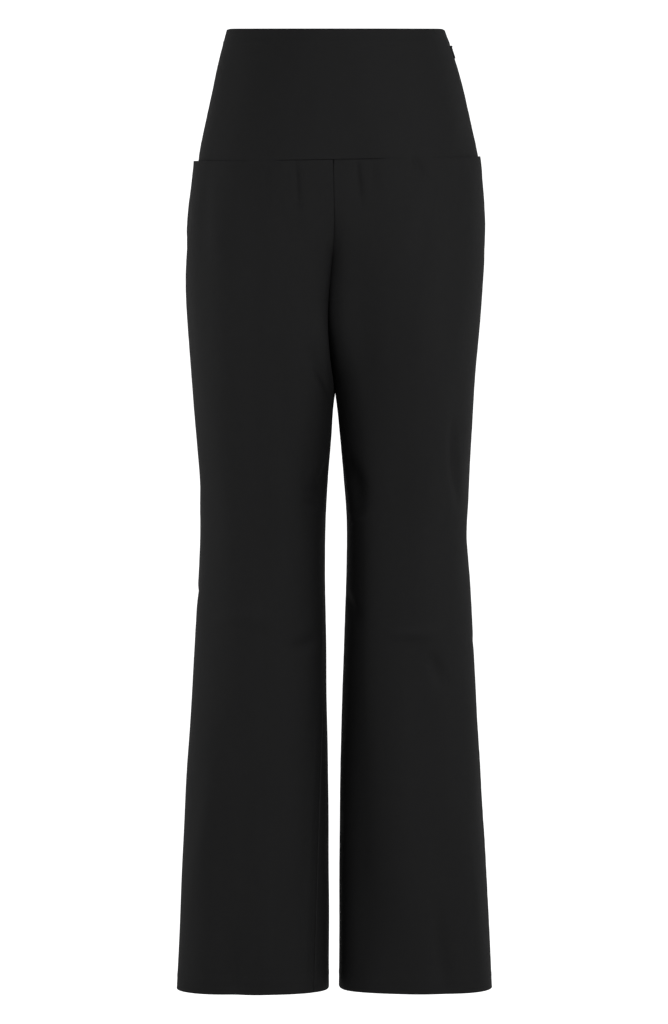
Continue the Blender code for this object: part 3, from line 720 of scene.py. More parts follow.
    def leg_columns(self, depths: Array, lines: Array, face: Face, shares: Array) -> Array:
        """Columns of a leg panel, spread from the side seam over a reach that changes slowly.

        Where the crotch cuts the real reach short, the columns nearest that edge take up the
        difference, as the cube of their share.

        Args:
            depths: one depth for each row.
            lines: the seams at these depths.
            face: the front or the back panel.
            shares: where the columns lie, from 0 at the side seam to 1 at the panel's other edge.

        Returns:
            Distances along the sections, rows by columns, in the order in which they follow round.
        """
        edge = lines[:, 0] if face is Face.FRONT else lines[:, 2]
        reach = edge - lines[:, 1]
        spread = (depths[:, None] - depths) / self.reach_smoothing
        weights = np.exp(-(spread ** 2)) * np.gradient(depths)
        slow = weights @ reach / weights.sum(axis=1)
        along = lines[:, 1:2] + slow[:, None] * shares + (reach - slow)[:, None] * shares ** 3
        return along[:, ::-1] if face is Face.FRONT else along

    def patch(self, half: Half, depths: Array, along: Array) -> Patch:
        """A grid of cloth: its points, and its outward normals from the slopes round and down.

        Args:
            half: the half.
            depths: one depth for each row.
            along: distances along the sections, rows by columns.

        Returns:
            The patch, still in the half's outward x.
        """
        points = self.place(half, depths, along)
        step = self.tangent_step
        around = self.place(half, depths, along + step) - self.place(half, depths, along - step)
        total = self.seams(half, depths)
        lower = np.minimum(depths + self.down_step, self.hem_depth)
        upper = np.maximum(depths - self.down_step, 0.0)
        share = (along - total[:, :1]) / (total[:, 2:] - total[:, :1])
        down = self.shared(half, lower, share) - self.shared(half, upper, share)
        normals = np.cross(down, around)
        normals /= np.linalg.norm(normals, axis=-1, keepdims=True)
        depth = np.broadcast_to(depths[:, None], along.shape)
        return Patch(half, depth, total[:, 1:2] - along, points, normals)

    def shared(self, half: Half, depths: Array, share: Array) -> Array:
        """Points at shares of the way round each section, from the inseam to the inseam again."""
        lines = self.seams(half, depths)
        return self.place(half, depths, lines[:, :1] + share * (lines[:, 2:] - lines[:, :1]))


@dataclass(frozen=True)
class Relief:
    """What lifts and sinks the cloth's outer face: pockets, folds, creases, puckers and slack."""

    form: WornForm
    pocket_stand: dict[Half, float] = field(
        default_factory=lambda: {Half.RIGHT: 0.0056, Half.LEFT: 0.0026}
    )
    pocket_reach: float = 0.135
    pocket_back_reach: float = 0.055
    pocket_fade: float = 0.145
    pocket_fade_power: float = 1.5
    crease_power: float = 1.5
    crease_start_width: float = 0.8
    crease_widening: float = 0.5
    pucker_height: float = 0.00022
    pucker_reach: float = 0.011
    yoke_seam_phase: float = 2.3
    slack_height: float = 0.00070
    slack_waves: tuple[tuple[float, float, float, float], ...] = (
        (0.34, 0.083, 0.71, 1.3),
        (0.30, 0.051, -0.47, 2.1),
        (0.20, 0.117, 0.163, 0.6),
        (0.16, 0.071, -0.101, 3.2),
    )
    edge_calm: float = 0.030
    crease_calm: float = 0.010
    waist_calm: float = 0.060
    waves: Waves = Waves()

    def stand(self, patch: Patch) -> Array:
        """How far a leg panel stands out round its pocket mouth.

        It is the square of 1 less the squared share of the mouth's reach, times a fade down the leg.

        Args:
            patch: the cloth.

        Returns:
            Heights, rows by columns.
        """
        reach = np.where(patch.ahead > 0, self.pocket_reach, self.pocket_back_reach)
        near = 1 - np.clip(np.abs(patch.ahead) / reach, 0, 1) ** 2
        fade = np.clip(1 - (patch.depth - self.form.yoke_depth) / self.pocket_fade, 0, 1)
        return self.pocket_stand[patch.half] * near ** 2 * fade ** self.pocket_fade_power

    def folds(self, patch: Patch) -> Array:
        """Sum of the large folds: a bell curve across each, a half sine down it, on its own face.

        Args:
            patch: the cloth.

        Returns:
            Heights, rows by columns.
        """
        total = np.zeros(patch.depth.shape)
        for fold in FOLDS[patch.half]:
            share = np.clip((patch.depth - fold.top) / (fold.end - fold.top), 0, 1)
            across = patch.points[..., 0] - (fold.top_x + share * (fold.end_x - fold.top_x))
            on_face = ease(0.5 + fold.face.toward * patch.points[..., 1] / self.form.fold_blend)
            bell = np.exp(-((across / fold.spread) ** 2))
            total += fold.height * np.sin(math.pi * share) * bell * on_face
        return total

    def creases(self, patch: Patch) -> Array:
        """Sum of the small creases: a bell curve across each, a skewed half sine along it.

        The share of the length is raised to the power that brings its chosen peak to a half, so the
        crease is uneven from end to end, and it widens away from its start.

        Args:
            patch: the cloth.

        Returns:
            Heights, rows by columns.
        """
        total = np.zeros(patch.depth.shape)
        for crease in CREASES[patch.half]:
            run = np.array(crease.end) - np.array(crease.start)
            length = np.hypot(*run)
            run = run / length
            from_start = (patch.ahead - crease.start[0], patch.depth - crease.start[1])
            share = np.clip((from_start[0] * run[0] + from_start[1] * run[1]) / length, 0, 1)
            across = from_start[0] * run[1] - from_start[1] * run[0] - crease.bow * 4 * share * (1 - share)
            skewed = share ** (math.log(0.5) / math.log(crease.peak))
            width = crease.width * (self.crease_start_width + self.crease_widening * share)
            along = np.sin(math.pi * skewed) ** self.crease_power
            total += crease.height * along * np.exp(-((across / width) ** 2))
        return total

    def puckers(self, seam_distance: Array, along_seam: Array, phase: float) -> Array:
        """Uneven little waves along a seam, which die away within a few reaches of it.

        Args:
            seam_distance: distance from the seam.
            along_seam: distance along the seam.
            phase: what sets this seam apart.

        Returns:
            Heights, rows by columns.
        """
        fading = np.exp(-np.abs(seam_distance) / self.pucker_reach)
        return self.pucker_height * fading * self.waves.at(along_seam, phase)

    def slack(self, patch: Patch) -> Array:
        """Broad faint unevenness of hanging cloth: long waves down the leg, a little aslant.

        Each of slack_waves has a share, its lengths across and down the cloth, and a phase.

        Args:
            patch: the cloth.

        Returns:
            Heights, rows by columns.
        """
        sign = patch.half.sign
        ahead, depth = patch.ahead, patch.depth
        total = sum(
            share * np.sin(2 * math.pi * (ahead / across + depth / down) + phase * sign)
            for share, across, down, phase in self.slack_waves
        )
        return self.slack_height * total * ease(depth / self.waist_calm)

    def height(self, patch: Patch, to_edge: Array) -> Array:
        """The whole relief of a patch but for its stand; it agrees wherever two panels meet.

        What differs from panel to panel dies away towards the centre seams and the inseam.

        Args:
            patch: the cloth.
            to_edge: distance from the centre seam or inseam.

        Returns:
            Heights of the outer face over the plain form.
        """
        sign = patch.half.sign
        total = self.folds(patch) + self.creases(patch) * ease(to_edge / self.crease_calm)
        below_yoke = patch.depth - self.form.yoke_depth
        free = self.slack(patch) + self.puckers(below_yoke, patch.ahead, self.yoke_seam_phase * sign)
        return total + free * ease(to_edge / self.edge_calm) + self.puckers(patch.ahead, patch.depth, sign)


def linked(name: str, data: bpy.types.ID) -> bpy.types.Object:
    """A new object of the scene, made of a mesh, a lamp or a camera."""
    made = bpy.data.objects.new(name, data)
    bpy.context.scene.collection.objects.link(made)
    return made


class Mesher:
    """Puts grids of points into mesh objects."""

    @staticmethod
    def grid_faces(rows: int, columns: int, start: int = 0) -> Array:
        """Corners of a grid's faces, each going down and then round."""
        corner = start + np.arange((rows - 1) * columns).reshape(rows - 1, columns)[:, :-1]
        return np.stack([corner, corner + columns, corner + columns + 1, corner + 1], axis=-1).reshape(-1, 4)

    @staticmethod
    def rim(rows: int, columns: int) -> Array:
        """Vertex numbers round a grid's edge: down the first column, on round, and back up."""
        grid = np.arange(rows * columns).reshape(rows, columns)
        return np.concatenate([grid[:, 0], grid[-1, 1:], grid[-2::-1, -1], grid[0, -2:0:-1]])

    @staticmethod
    def fill(name: str, points: Array, faces: Array, uv: Array | None = None) -> bpy.types.Object:
        """Makes a smooth mesh object from points and four-cornered faces.

        Args:
            name: the object's name.
            points: the vertices.
            faces: four vertex numbers for each face.
            uv: a place on the flat cut for each vertex, in metres.

        Returns:
            The object, linked to the scene.
        """
        mesh = bpy.data.meshes.new(name)
        mesh.vertices.add(len(points))
        mesh.vertices.foreach_set("co", points.astype(np.float32).ravel())
        mesh.loops.add(faces.size)
        mesh.loops.foreach_set("vertex_index", faces.astype(np.int32).ravel())
        mesh.polygons.add(len(faces))
        mesh.polygons.foreach_set("loop_start", np.arange(0, faces.size, 4, dtype=np.int32))
        mesh.shade_smooth()
        mesh.update(calc_edges=True)
        mesh.validate()
        if uv is not None:
            layer = mesh.uv_layers.new(name="Cut")
            layer.data.foreach_set("uv", uv[faces.ravel()].astype(np.float32).ravel())
        return linked(name, mesh)

    @classmethod
    def wall(cls, name: str, outer: Array, inner: Array, uv: Array, mirrored: bool) -> bpy.types.Object:
        """A closed wall of cloth between an outer and an inner grid.

        Args:
            name: the object's name.
            outer: points of the outer face, rows by columns by 3.
            inner: points of the inner face.
            uv: places on the flat cut, rows by columns by 2.
            mirrored: true where the grids were mirrored, so that the faces are turned over.

        Returns:
            The object.
        """
        rows, columns = outer.shape[:2]
        count = rows * columns
        front = cls.grid_faces(rows, columns)
        back = cls.grid_faces(rows, columns, count)[:, ::-1]
        edge = cls.rim(rows, columns)
        following = np.roll(edge, -1)
        rims = np.stack([edge, edge + count, following + count, following], axis=-1)
        faces = np.concatenate([front, back, rims])
        if mirrored:
            faces = faces[:, ::-1]
        points = np.concatenate([outer.reshape(-1, 3), inner.reshape(-1, 3)])
        places = np.concatenate([uv.reshape(-1, 2), uv.reshape(-1, 2)])
        return cls.fill(name, points, faces, places)


@dataclass(frozen=True)
class Sewing:
    """Sizes of the seams, hems and turned edges, the same on every panel."""

    cloth: float = 0.0007
    turned: float = 0.0014
    seam_round: float = 0.0008
    fold_round: float = 0.0007
    inseam_round: float = 0.0013
    allowance: float = 0.012
    hem: float = 0.016
    waist_turn: float = 0.015
    step: float = 0.0016
    least: float = 0.00006
    print_height: float = 0.00030
    print_width: float = 0.0022
    press_depth: float = 0.00020
    press_width: float = 0.0034
    groove_reach: dict[Half, float] = field(default_factory=lambda: {Half.RIGHT: 0.058, Half.LEFT: 0.047})
    groove_ease: float = 0.010
    groove_faint: float = 0.15
    digits: int = 7
    edge_steps: tuple[float, ...] = (0.0, 0.00006, 0.00018, 0.00036, 0.0006, 0.0009, 0.0014, 0.0022, 0.0036)

    def drop(self, distance: Array, radius: float) -> Array:
        """How far a rounded edge has dropped: a quarter circle over the last radius before the edge."""
        inside = radius - np.clip(distance, 0.0, radius)
        return radius - np.sqrt(np.maximum(radius ** 2 - inside ** 2, 0.0))

    def grooved(self, patch: Patch, face: Face) -> Array:
        """How far the yoke seam shows as a groove: wholly, but faint beside the front's pocket mouths.

        Args:
            patch: the cloth beside the seam.
            face: the front or the back panel.

        Returns:
            Shares from groove_faint to 1, rows by columns.
        """
        if face is Face.BACK:
            return np.ones(patch.depth.shape)
        beyond = ease((patch.points[..., 0] - self.groove_reach[patch.half]) / self.groove_ease)
        return 1 - (1 - self.groove_faint) * beyond

    def within(self, distance: Array, width: float) -> Array:
        """1 on a strip of that width beside an edge and 0 beyond it, with a short soft step."""
        return 1 - ease((distance - width) / self.step + 0.5)

    def printed(self, distance: Array, width: float) -> Array:
        """The faint ridge that the raw edge of a turning presses through to the outer face."""
        return self.print_height * np.exp(-(((distance - width) / self.print_width) ** 2))

    def pressed(self, distance: Array) -> Array:
        """The faint valley that pressing leaves beside a seam."""
        return -self.press_depth * np.exp(-((distance / self.press_width) ** 2))

    def stations(self, length: float, spacing: float, close: tuple[float, ...] = ()) -> Array:
        """Distances from 0 to a length: close together at both ends, even between.

        Args:
            length: the whole length.
            spacing: the even distance between.
            close: further distances to add.

        Returns:
            The distances in order.
        """
        steps = np.array(self.edge_steps)
        count = max(2, round((length - 2 * steps[-1]) / spacing))
        middle = np.linspace(steps[-1], length - steps[-1], count)
        return np.unique(np.concatenate([steps, middle, length - steps, np.array(close)]).round(self.digits))


class Wiring:
    """A shader's node tree, with short ways to add nodes and to fill their inputs."""

    def __init__(self, tree: bpy.types.NodeTree) -> None:
        """Keeps the tree."""
        self.tree = tree

    @classmethod
    def group(
        cls, name: str, numbers: tuple[str, ...], results: tuple[str, ...]
    ) -> tuple["Wiring", bpy.types.NodeOutputs, bpy.types.Node]:
        """Starts a shader group that reads a place and some numbers.

        Args:
            name: the group's name.
            numbers: names of the numbers that it reads.
            results: names of the numbers that it gives.

        Returns:
            The wiring, the sockets of what is given, and the node that takes the results.
        """
        tree = bpy.data.node_groups.new(name, "ShaderNodeTree")
        tree.interface.new_socket("Place", in_out="INPUT", socket_type="NodeSocketVector")
        for side, labels in (("INPUT", numbers), ("OUTPUT", results)):
            for label in labels:
                tree.interface.new_socket(label, in_out=side, socket_type="NodeSocketFloat")
        given = tree.nodes.new("NodeGroupInput")
        return cls(tree), given.outputs, tree.nodes.new("NodeGroupOutput")

    @classmethod
    def material(cls, name: str) -> tuple[bpy.types.Material, "Wiring", bpy.types.Node]:
        """A new material, its wiring and its principled shader."""
        made = bpy.data.materials.new(name)
        made.use_nodes = True
        return made, cls(made.node_tree), made.node_tree.nodes["Principled BSDF"]

    def fill(self, node: bpy.types.Node, inputs: dict[str | int, object]) -> None:
        """Links or sets inputs of a node.

        Args:
            node: the node.
            inputs: under each input's name or number, a socket to link from or a value to set.
        """
        for name, value in inputs.items():
            if isinstance(value, bpy.types.NodeSocket):
                self.tree.links.new(value, node.inputs[name])
            else:
                node.inputs[name].default_value = value

    def add(self, kind: str, inputs: dict[str | int, object], **settings: object) -> bpy.types.Node:
        """Adds a shader node.

        Args:
            kind: the node's kind, such as Bump.
            inputs: what its inputs get.
            settings: the node's own settings, which come before its inputs.

        Returns:
            The node.
        """
        node = self.tree.nodes.new("ShaderNode" + kind)
        for name, value in settings.items():
            setattr(node, name, value)
        self.fill(node, inputs)
        return node

    def maths(self, operation: str, *values: object) -> bpy.types.NodeSocket:
        """One step of arithmetic on sockets or numbers."""
        return self.add("Math", dict(enumerate(values)), operation=operation).outputs[0]

    def mottled(
        self, mottle: bpy.types.NodeTree, place: bpy.types.NodeSocket, scale: float, low: float, high: float
    ) -> bpy.types.NodeSocket:
        """A slowly uneven number.

        Args:
            mottle: the shader group of the unevenness.
            place: the object's coordinates.
            scale: how fine the unevenness is.
            low: the least value.
            high: the greatest value.

        Returns:
            The socket that gives it.
        """
        inputs = {"Place": place, "Scale": scale, "Low": low, "High": high}
        return self.add("Group", inputs, node_tree=mottle).outputs["Level"]


@dataclass(frozen=True)
class Weave:
    """A shader group of plain-woven threads, for every cloth of the garment.

    On the flat cut, the sine of one direction times the sine of the other says which thread lies on
    top. Each thread is round across, as the height of a half sine, and a slow noise makes threads
    thick and thin. The colour is painted lighter on the thread crowns and darker in the hollows
    between them, as painted highlight and shade, and thick and thin threads differ a little in tone.
    """

    name: str = "woven threads"
    noise_scale: float = 160.0
    noise_detail: float = 2.0
    sway_angle: float = 6.0
    uneven_height: float = 0.8
    uneven_shade: float = 0.4

    def build(self) -> bpy.types.NodeTree:
        """Makes the group, with its pitch, unevenness and the strength of its painted hollow shade as
        inputs.

        Returns:
            The node group.
        """
        numbers = ("Threads per metre", "Unevenness", "Hollow shade")
        wiring, given, result = Wiring.group(self.name, numbers, ("Height", "Shade"))
        maths = wiring.maths
        noise = {"Vector": given["Place"], "Scale": self.noise_scale, "Detail": self.noise_detail}
        wander = wiring.add("TexNoise", noise).outputs["Fac"]
        split = wiring.add("SeparateXYZ", {0: given["Place"]}).outputs
        threads = maths("MULTIPLY", given["Threads per metre"], math.pi)
        sway = maths("MULTIPLY", maths("SUBTRACT", wander, 0.5), given["Unevenness"])
        waves = []
        for axis in ("X", "Y"):
            turned = maths("MULTIPLY", split[axis], threads)
            waves.append(maths("SINE", maths("ADD", turned, maths("MULTIPLY", sway, self.sway_angle))))
        on_top = maths("ADD", maths("MULTIPLY", maths("MULTIPLY", *waves), 0.5), 0.5)
        up = maths("MULTIPLY", maths("ABSOLUTE", waves[0]), on_top)
        under = maths("MULTIPLY", maths("ABSOLUTE", waves[1]), maths("SUBTRACT", 1.0, on_top))
        height = maths("ADD", up, under)
        uneven = maths("MULTIPLY", sway, self.uneven_height)
        # Painted light and shade: lighter on the thread crowns, darker in the hollows between threads
        hollow_shade = maths("MULTIPLY", maths("SUBTRACT", height, 0.5), given["Hollow shade"])
        shade = maths("ADD", maths("ADD", 1.0, hollow_shade), maths("MULTIPLY", uneven, self.uneven_shade))
        wiring.fill(result, {"Height": maths("ADD", height, uneven), "Shade": shade})
        return wiring.tree


@dataclass(frozen=True)
class Mottle:
    """A shader group of slow unevenness in a dyed or lacquered surface."""

    name: str = "uneven dye"
    detail: float = 4.0
    roughness: float = 0.62
    noise_low: float = 0.3
    noise_high: float = 0.7

    def build(self) -> bpy.types.NodeTree:
        """Makes the group, with its scale, its least and its greatest value as inputs.

        Returns:
            The node group.
        """
        wiring, given, result = Wiring.group(self.name, ("Scale", "Low", "High"), ("Level",))
        noise = {
            "Vector": given["Place"], "Scale": given["Scale"],
            "Detail": self.detail, "Roughness": self.roughness,
        }
        spread = {
            "Value": wiring.add("TexNoise", noise).outputs["Fac"],
            "From Min": self.noise_low, "From Max": self.noise_high,
            "To Min": given["Low"], "To Max": given["High"],
        }
        wiring.fill(result, {"Level": wiring.add("MapRange", spread).outputs["Result"]})
        return wiring.tree


@dataclass(frozen=True)
class Groups:
    """The shader groups that the finishes share."""

    weave: bpy.types.NodeTree
    mottle: bpy.types.NodeTree


@dataclass(frozen=True)
class ClothFinish:
    """A woven black cloth: threads on the flat cut, an uneven dye and a soft nap.

    The threads carry painted shade: lighter crowns and darker hollows between them.
    """

    name: str
    colour: tuple[float, float, float]
    roughness: float
    sheen: float
    threads_per_metre: float
    thread_height: float
    unevenness: float = 0.30
    # Strength of the painted light and shade on the thread crowns and hollows
    hollow_shade: float = 0.22
    specular: float = 0.20
    sheen_roughness: float = 0.45
    dye_scale: float = 95.0
    dye_low: float = 0.96
    dye_high: float = 1.04

    def build(self, groups: Groups) -> bpy.types.Material:
        """Makes the material.

        Args:
            groups: the shared shader groups.

        Returns:
            The material, which reads the piece's own flat cut and the object's coordinates.
        """
        made, wiring, shader = Wiring.material(self.name)
        place = wiring.add("TexCoord", {}).outputs
        threads = {
            "Place": place["UV"], "Threads per metre": self.threads_per_metre,
            "Unevenness": self.unevenness, "Hollow shade": self.hollow_shade,
        }
        weave = wiring.add("Group", threads, node_tree=groups.weave).outputs
        dye = wiring.mottled(groups.mottle, place["Object"], self.dye_scale, self.dye_low, self.dye_high)
        # The colour takes the weave's painted hollow shade and the uneven dye
        level = wiring.maths("MULTIPLY", weave["Shade"], dye)
        colour = wiring.add("VectorMath", {0: self.colour, "Scale": level}, operation="SCALE")
        bump = wiring.add("Bump", {"Distance": self.thread_height, "Height": weave["Height"]})
        inputs = {
            "Base Color": colour.outputs["Vector"], "Normal": bump.outputs["Normal"],
            "Roughness": self.roughness, "Specular IOR Level": self.specular,
            "Sheen Weight": self.sheen, "Sheen Roughness": self.sheen_roughness,
        }
        wiring.fill(shader, inputs)
        return made


@dataclass(frozen=True)
class LacquerFinish:
    """Black lacquer or moulded black nylon, with uneven gloss and a faint orange-peel surface."""

    name: str
    colour: tuple[float, float, float]
    metallic: float
    rough_low: float
    rough_high: float
    peel_height: float = 0.00002
    peel_scale: float = 1400.0
    wear_scale: float = 420.0

    def build(self, groups: Groups) -> bpy.types.Material:
        """Makes the material.

        Args:
            groups: the shared shader groups.

        Returns:
            The material, which reads the object's coordinates.
        """
        made, wiring, shader = Wiring.material(self.name)
        place = wiring.add("TexCoord", {}).outputs["Object"]
        gloss = wiring.mottled(groups.mottle, place, self.wear_scale, self.rough_low, self.rough_high)
        peel = wiring.mottled(groups.mottle, place, self.peel_scale, 0.0, 1.0)
        bump = wiring.add("Bump", {"Distance": self.peel_height, "Height": peel})
        inputs = {
            "Base Color": (*self.colour, 1.0), "Metallic": self.metallic,
            "Roughness": gloss, "Normal": bump.outputs["Normal"],
        }
        wiring.fill(shader, inputs)
        return made


SUITING = ClothFinish("black suiting", (0.0075, 0.0075, 0.0078), 0.62, 0.012, 2100.0, 0.00010)
POCKETING = ClothFinish("black pocketing", (0.0120, 0.0120, 0.0125), 0.78, 0.01, 2600.0, 0.00007)
TAPE = ClothFinish("black zip tape", (0.0090, 0.0090, 0.0094), 0.70, 0.01, 1500.0, 0.00012)
LACQUER = LacquerFinish("black lacquered metal", (0.030, 0.033, 0.038), 0.80, 0.30, 0.44)
NYLON = LacquerFinish("black nylon teeth", (0.010, 0.010, 0.011), 0.0, 0.38, 0.50)


@dataclass(frozen=True)
class Cut:
    """The flat cut of a panel: its width, its length and its area, in metres and square metres."""

    width: float
    length: float
    area: float

    def state(self, piece: bpy.types.Object, rests_on: list[str] | None = None) -> None:
        """Takes a hung piece of cloth and does nothing with it.

        Args:
            piece: the piece; not used.
            rests_on: the objects that it hangs from, if any; not used.
        """


@dataclass
class LegPanel:
    """A front or back leg panel, from the yoke seam or pocket mouth down to the hem."""

    form: WornForm
    relief: Relief
    sewing: Sewing
    half: Half
    face: Face
    cut: Cut
    row_spacing: float = 0.0027
    column_spacing: float = 0.0026
    usual_reach: float = 0.225
    mouth_turn: float = 0.012
    mouth_extra: float = 0.0008
    mouth_open: float = 0.06
    edge_phase: float = 4.1
    crotch_reach: float = 0.012

    @property
    def node(self) -> str:
        """Name of the panel's node."""
        return f"leg_{self.face.value}_{self.half.value}"

    def build(self) -> bpy.types.Object:
        """Makes the panel's wall of cloth.

        The outer face is the form plus the relief, with a rounded drop at each seam and edge, the
        valley that pressing leaves and the faint print of the turnings. The inner face lies one
        cloth below it, or two where a seam, the hem or the pocket mouth is turned in.

        Returns:
            The panel.
        """
        form, sewing = self.form, self.sewing
        crotch = (form.crotch_depth - form.yoke_depth,)
        from_top = sewing.stations(form.hem_depth - form.yoke_depth, self.row_spacing, crotch)
        depths = form.yoke_depth + from_top
        shares = sewing.stations(self.usual_reach, self.column_spacing) / self.usual_reach
        lines = form.seams(self.half, depths)
        along = form.leg_columns(depths, lines, self.face, shares)
        patch = form.patch(self.half, depths, along)
        edge = lines[:, :1] if self.face is Face.FRONT else lines[:, 2:]
        to_side = np.abs(patch.ahead)
        to_edge = np.abs(edge - along)
        to_seam = np.minimum(to_side, to_edge)
        to_top = patch.depth - form.yoke_depth
        to_hem = form.hem_depth - patch.depth
        stand = self.relief.stand(patch) / self.relief.pocket_stand[self.half]
        opened = ease(stand / self.mouth_open) * (patch.ahead > 0)
        outer = self.relief.height(patch, to_edge) + self.relief.stand(patch)
        outer += self.relief.puckers(to_edge, patch.depth, self.edge_phase)
        grooved = sewing.grooved(patch, self.face)
        outer += sewing.pressed(to_seam) + grooved * sewing.pressed(to_top)
        outer += sewing.printed(to_seam, sewing.allowance) + sewing.printed(to_hem, sewing.hem)
        layers = np.maximum(sewing.within(to_seam, sewing.allowance), sewing.within(to_hem, sewing.hem))
        layers = np.maximum(layers, sewing.within(to_top, self.mouth_turn))
        thick = sewing.cloth + (sewing.turned - sewing.cloth) * layers
        thick += self.mouth_extra * opened * stand * sewing.within(to_top, self.mouth_turn)
        at_crotch = 1 - ease(np.abs(patch.depth - form.crotch_depth) / self.crotch_reach)
        inseam_drop = sewing.drop(to_edge + sewing.inseam_round * at_crotch, sewing.inseam_round)
        seam_drop = np.maximum(sewing.drop(to_side, sewing.seam_round), inseam_drop)
        top_drop = sewing.drop(to_top, sewing.seam_round) * grooved
        hem_drop = sewing.drop(to_hem, sewing.fold_round)
        sunk = np.maximum(np.maximum(seam_drop, top_drop), hem_drop)
        raised = np.maximum(hem_drop, opened * grooved * sewing.drop(to_top, sewing.fold_round))
        outer *= form.freedom(patch)
        inner = outer - np.maximum(thick - raised, sunk + sewing.least)
        lift = form.lift(patch, to_edge)
        outer = patch.in_garment(patch.points + patch.normals * outer[..., None] - lift * sunk[..., None])
        mirrored = self.half is Half.RIGHT
        return Mesher.wall(self.node + "_cloth", outer, patch.skin(inner), patch.flat, mirrored)


@dataclass
class Yoke:
    """The front or back yoke, one piece from side seam to side seam, with a turned waist edge."""

    form: WornForm
    relief: Relief
    sewing: Sewing
    face: Face
    cut: Cut
    row_spacing: float = 0.0022
    column_spacing: float = 0.0023
    usual_reach: float = 0.175
    zip_top: float = 0.0215
    zip_parting: float = 0.00065
    zip_open_half: float = 0.0019
    zip_open_ease: float = 0.0007

    @property
    def node(self) -> str:
        """Name of the yoke's node."""
        return f"yoke_{self.face.value}"

    def parting(self, half: Half, depths: Array) -> Array:
        """How far the left side seam's edge draws back where the zip's tongue comes out."""
        if half is Half.RIGHT:
            return np.zeros_like(depths)
        beyond = np.abs(depths - self.zip_top) - self.zip_open_half
        return self.zip_parting * np.clip(1 - beyond / self.zip_open_ease, 0, 1)

    def half_skins(self, half: Half) -> tuple[Array, Array, Array]:
        """Outer and inner points and flat places of one half of the yoke.

        Args:
            half: the half.

        Returns:
            Two grids of points in the garment's x, and a grid of flat places.
        """
        form, sewing = self.form, self.sewing
        around_zip = [
            self.zip_top + sign * (self.zip_open_half + share * self.zip_open_ease)
            for sign in (-1, 1) for share in (0.0, 0.5, 1.0)
        ]
        depths = sewing.stations(form.yoke_depth, self.row_spacing, tuple(around_zip))
        lines = form.seams(half, depths)
        drawn = self.parting(half, depths)
        steps = sewing.stations(self.usual_reach, self.column_spacing)
        shares = steps[steps <= self.usual_reach - sewing.edge_steps[-1]] / self.usual_reach
        shares = np.concatenate([shares, [1.0]])
        side = lines[:, 1] + self.face.toward * drawn
        edge = lines[:, 0] if self.face is Face.FRONT else lines[:, 2]
        along = side[:, None] + (edge - side)[:, None] * shares
        if self.face is Face.FRONT:
            along = along[:, ::-1]
        patch = form.patch(half, depths, along)
        to_side = np.abs(side[:, None] - along)
        to_edge = np.abs(edge[:, None] - along)
        to_waist = patch.depth
        to_seam = form.yoke_depth - patch.depth
        outer = self.relief.height(patch, to_edge)
        grooved = sewing.grooved(patch, self.face)
        outer += sewing.pressed(to_side) + grooved * sewing.pressed(to_seam)
        outer += sewing.printed(to_side, sewing.allowance) + sewing.printed(to_waist, sewing.waist_turn)
        near_seam = np.minimum(to_side, to_seam)
        layers = np.maximum(
            sewing.within(near_seam, sewing.allowance), sewing.within(to_waist, sewing.waist_turn)
        )
        thick = sewing.cloth + (sewing.turned - sewing.cloth) * layers
        waist_drop = sewing.drop(to_waist, sewing.fold_round)
        seam_drop = np.maximum(
            sewing.drop(to_side, sewing.seam_round), sewing.drop(to_seam, sewing.seam_round) * grooved
        )
        sunk = np.maximum(seam_drop, waist_drop)
        inner = outer - np.maximum(thick - waist_drop, sunk + sewing.least)
        flat = np.stack([half.sign * to_edge, -patch.depth], axis=-1)
        return patch.skin(outer - sunk), patch.skin(inner), flat

    def build(self) -> bpy.types.Object:
        """Joins the two halves at the middle, where they share a column, into one wall.

        Returns:
            The yoke.
        """
        right = self.half_skins(Half.RIGHT)
        left = self.half_skins(Half.LEFT)
        joined = []
        for of_right, of_left in zip(right, left):
            if self.face is Face.FRONT:
                middle = (of_right[:, :1] + of_left[:, :1]) / 2
                joined.append(np.concatenate([of_right[:, :0:-1], middle, of_left[:, 1:]], axis=1))
            else:
                middle = (of_right[:, -1:] + of_left[:, -1:]) / 2
                joined.append(np.concatenate([of_left[:, :-1], middle, of_right[:, -2::-1]], axis=1))
        return Mesher.wall(self.node + "_cloth", *joined, False)


@dataclass
class PocketBack:
    """The layer behind a pocket mouth, sewn to the yoke and hanging inside the leg."""

    form: WornForm
    relief: Relief
    sewing: Sewing
    half: Half
    cut: Cut
    tuck: float = 0.008
    bag: float = 0.140
    first_share: float = 7 / 12
    zip_clearance: float = 0.0125
    wall: float = 0.0010
    behind: float = 0.0022
    mouth_turn: float = 0.012
    swell: float = 0.4
    edge_share: float = 0.45
    spacing: float = 0.0034
    usual_reach: float = 0.125

    @property
    def node(self) -> str:
        """Name of the pocket back's node."""
        return f"pocket_back_{self.half.value}"

    def build(self) -> bpy.types.Object:
        """Makes the layer: the yoke's face carried on down, 2.2 mm behind, and swelling a little.

        Returns:
            The pocket back.
        """
        form, sewing = self.form, self.sewing
        depths = form.yoke_depth - self.tuck + sewing.stations(self.tuck + self.bag, self.spacing)
        lines = form.seams(self.half, depths)
        shares = sewing.stations(self.usual_reach, self.spacing) / self.usual_reach
        along = form.leg_columns(depths, lines, Face.FRONT, shares * self.first_share)
        if self.half is Half.LEFT:
            reach = lines[:, 1:2] - along[:, :1]
            along = along[:, :1] + (along - along[:, :1]) * (1 - self.zip_clearance / reach)
        patch = form.patch(self.half, depths, along)
        below = ease((patch.depth - form.yoke_depth) / self.mouth_turn)
        outer = self.relief.folds(patch) + self.relief.creases(patch)
        outer += self.swell * below * self.relief.stand(patch) - self.behind
        to_end = np.minimum(patch.depth - depths[0], depths[-1] - patch.depth)
        rounded = sewing.drop(to_end, self.wall * self.edge_share)
        skins = (patch.skin(outer - rounded), patch.skin(outer - self.wall + rounded))
        return Mesher.wall(self.node + "_cloth", *skins, patch.flat, self.half is Half.RIGHT)


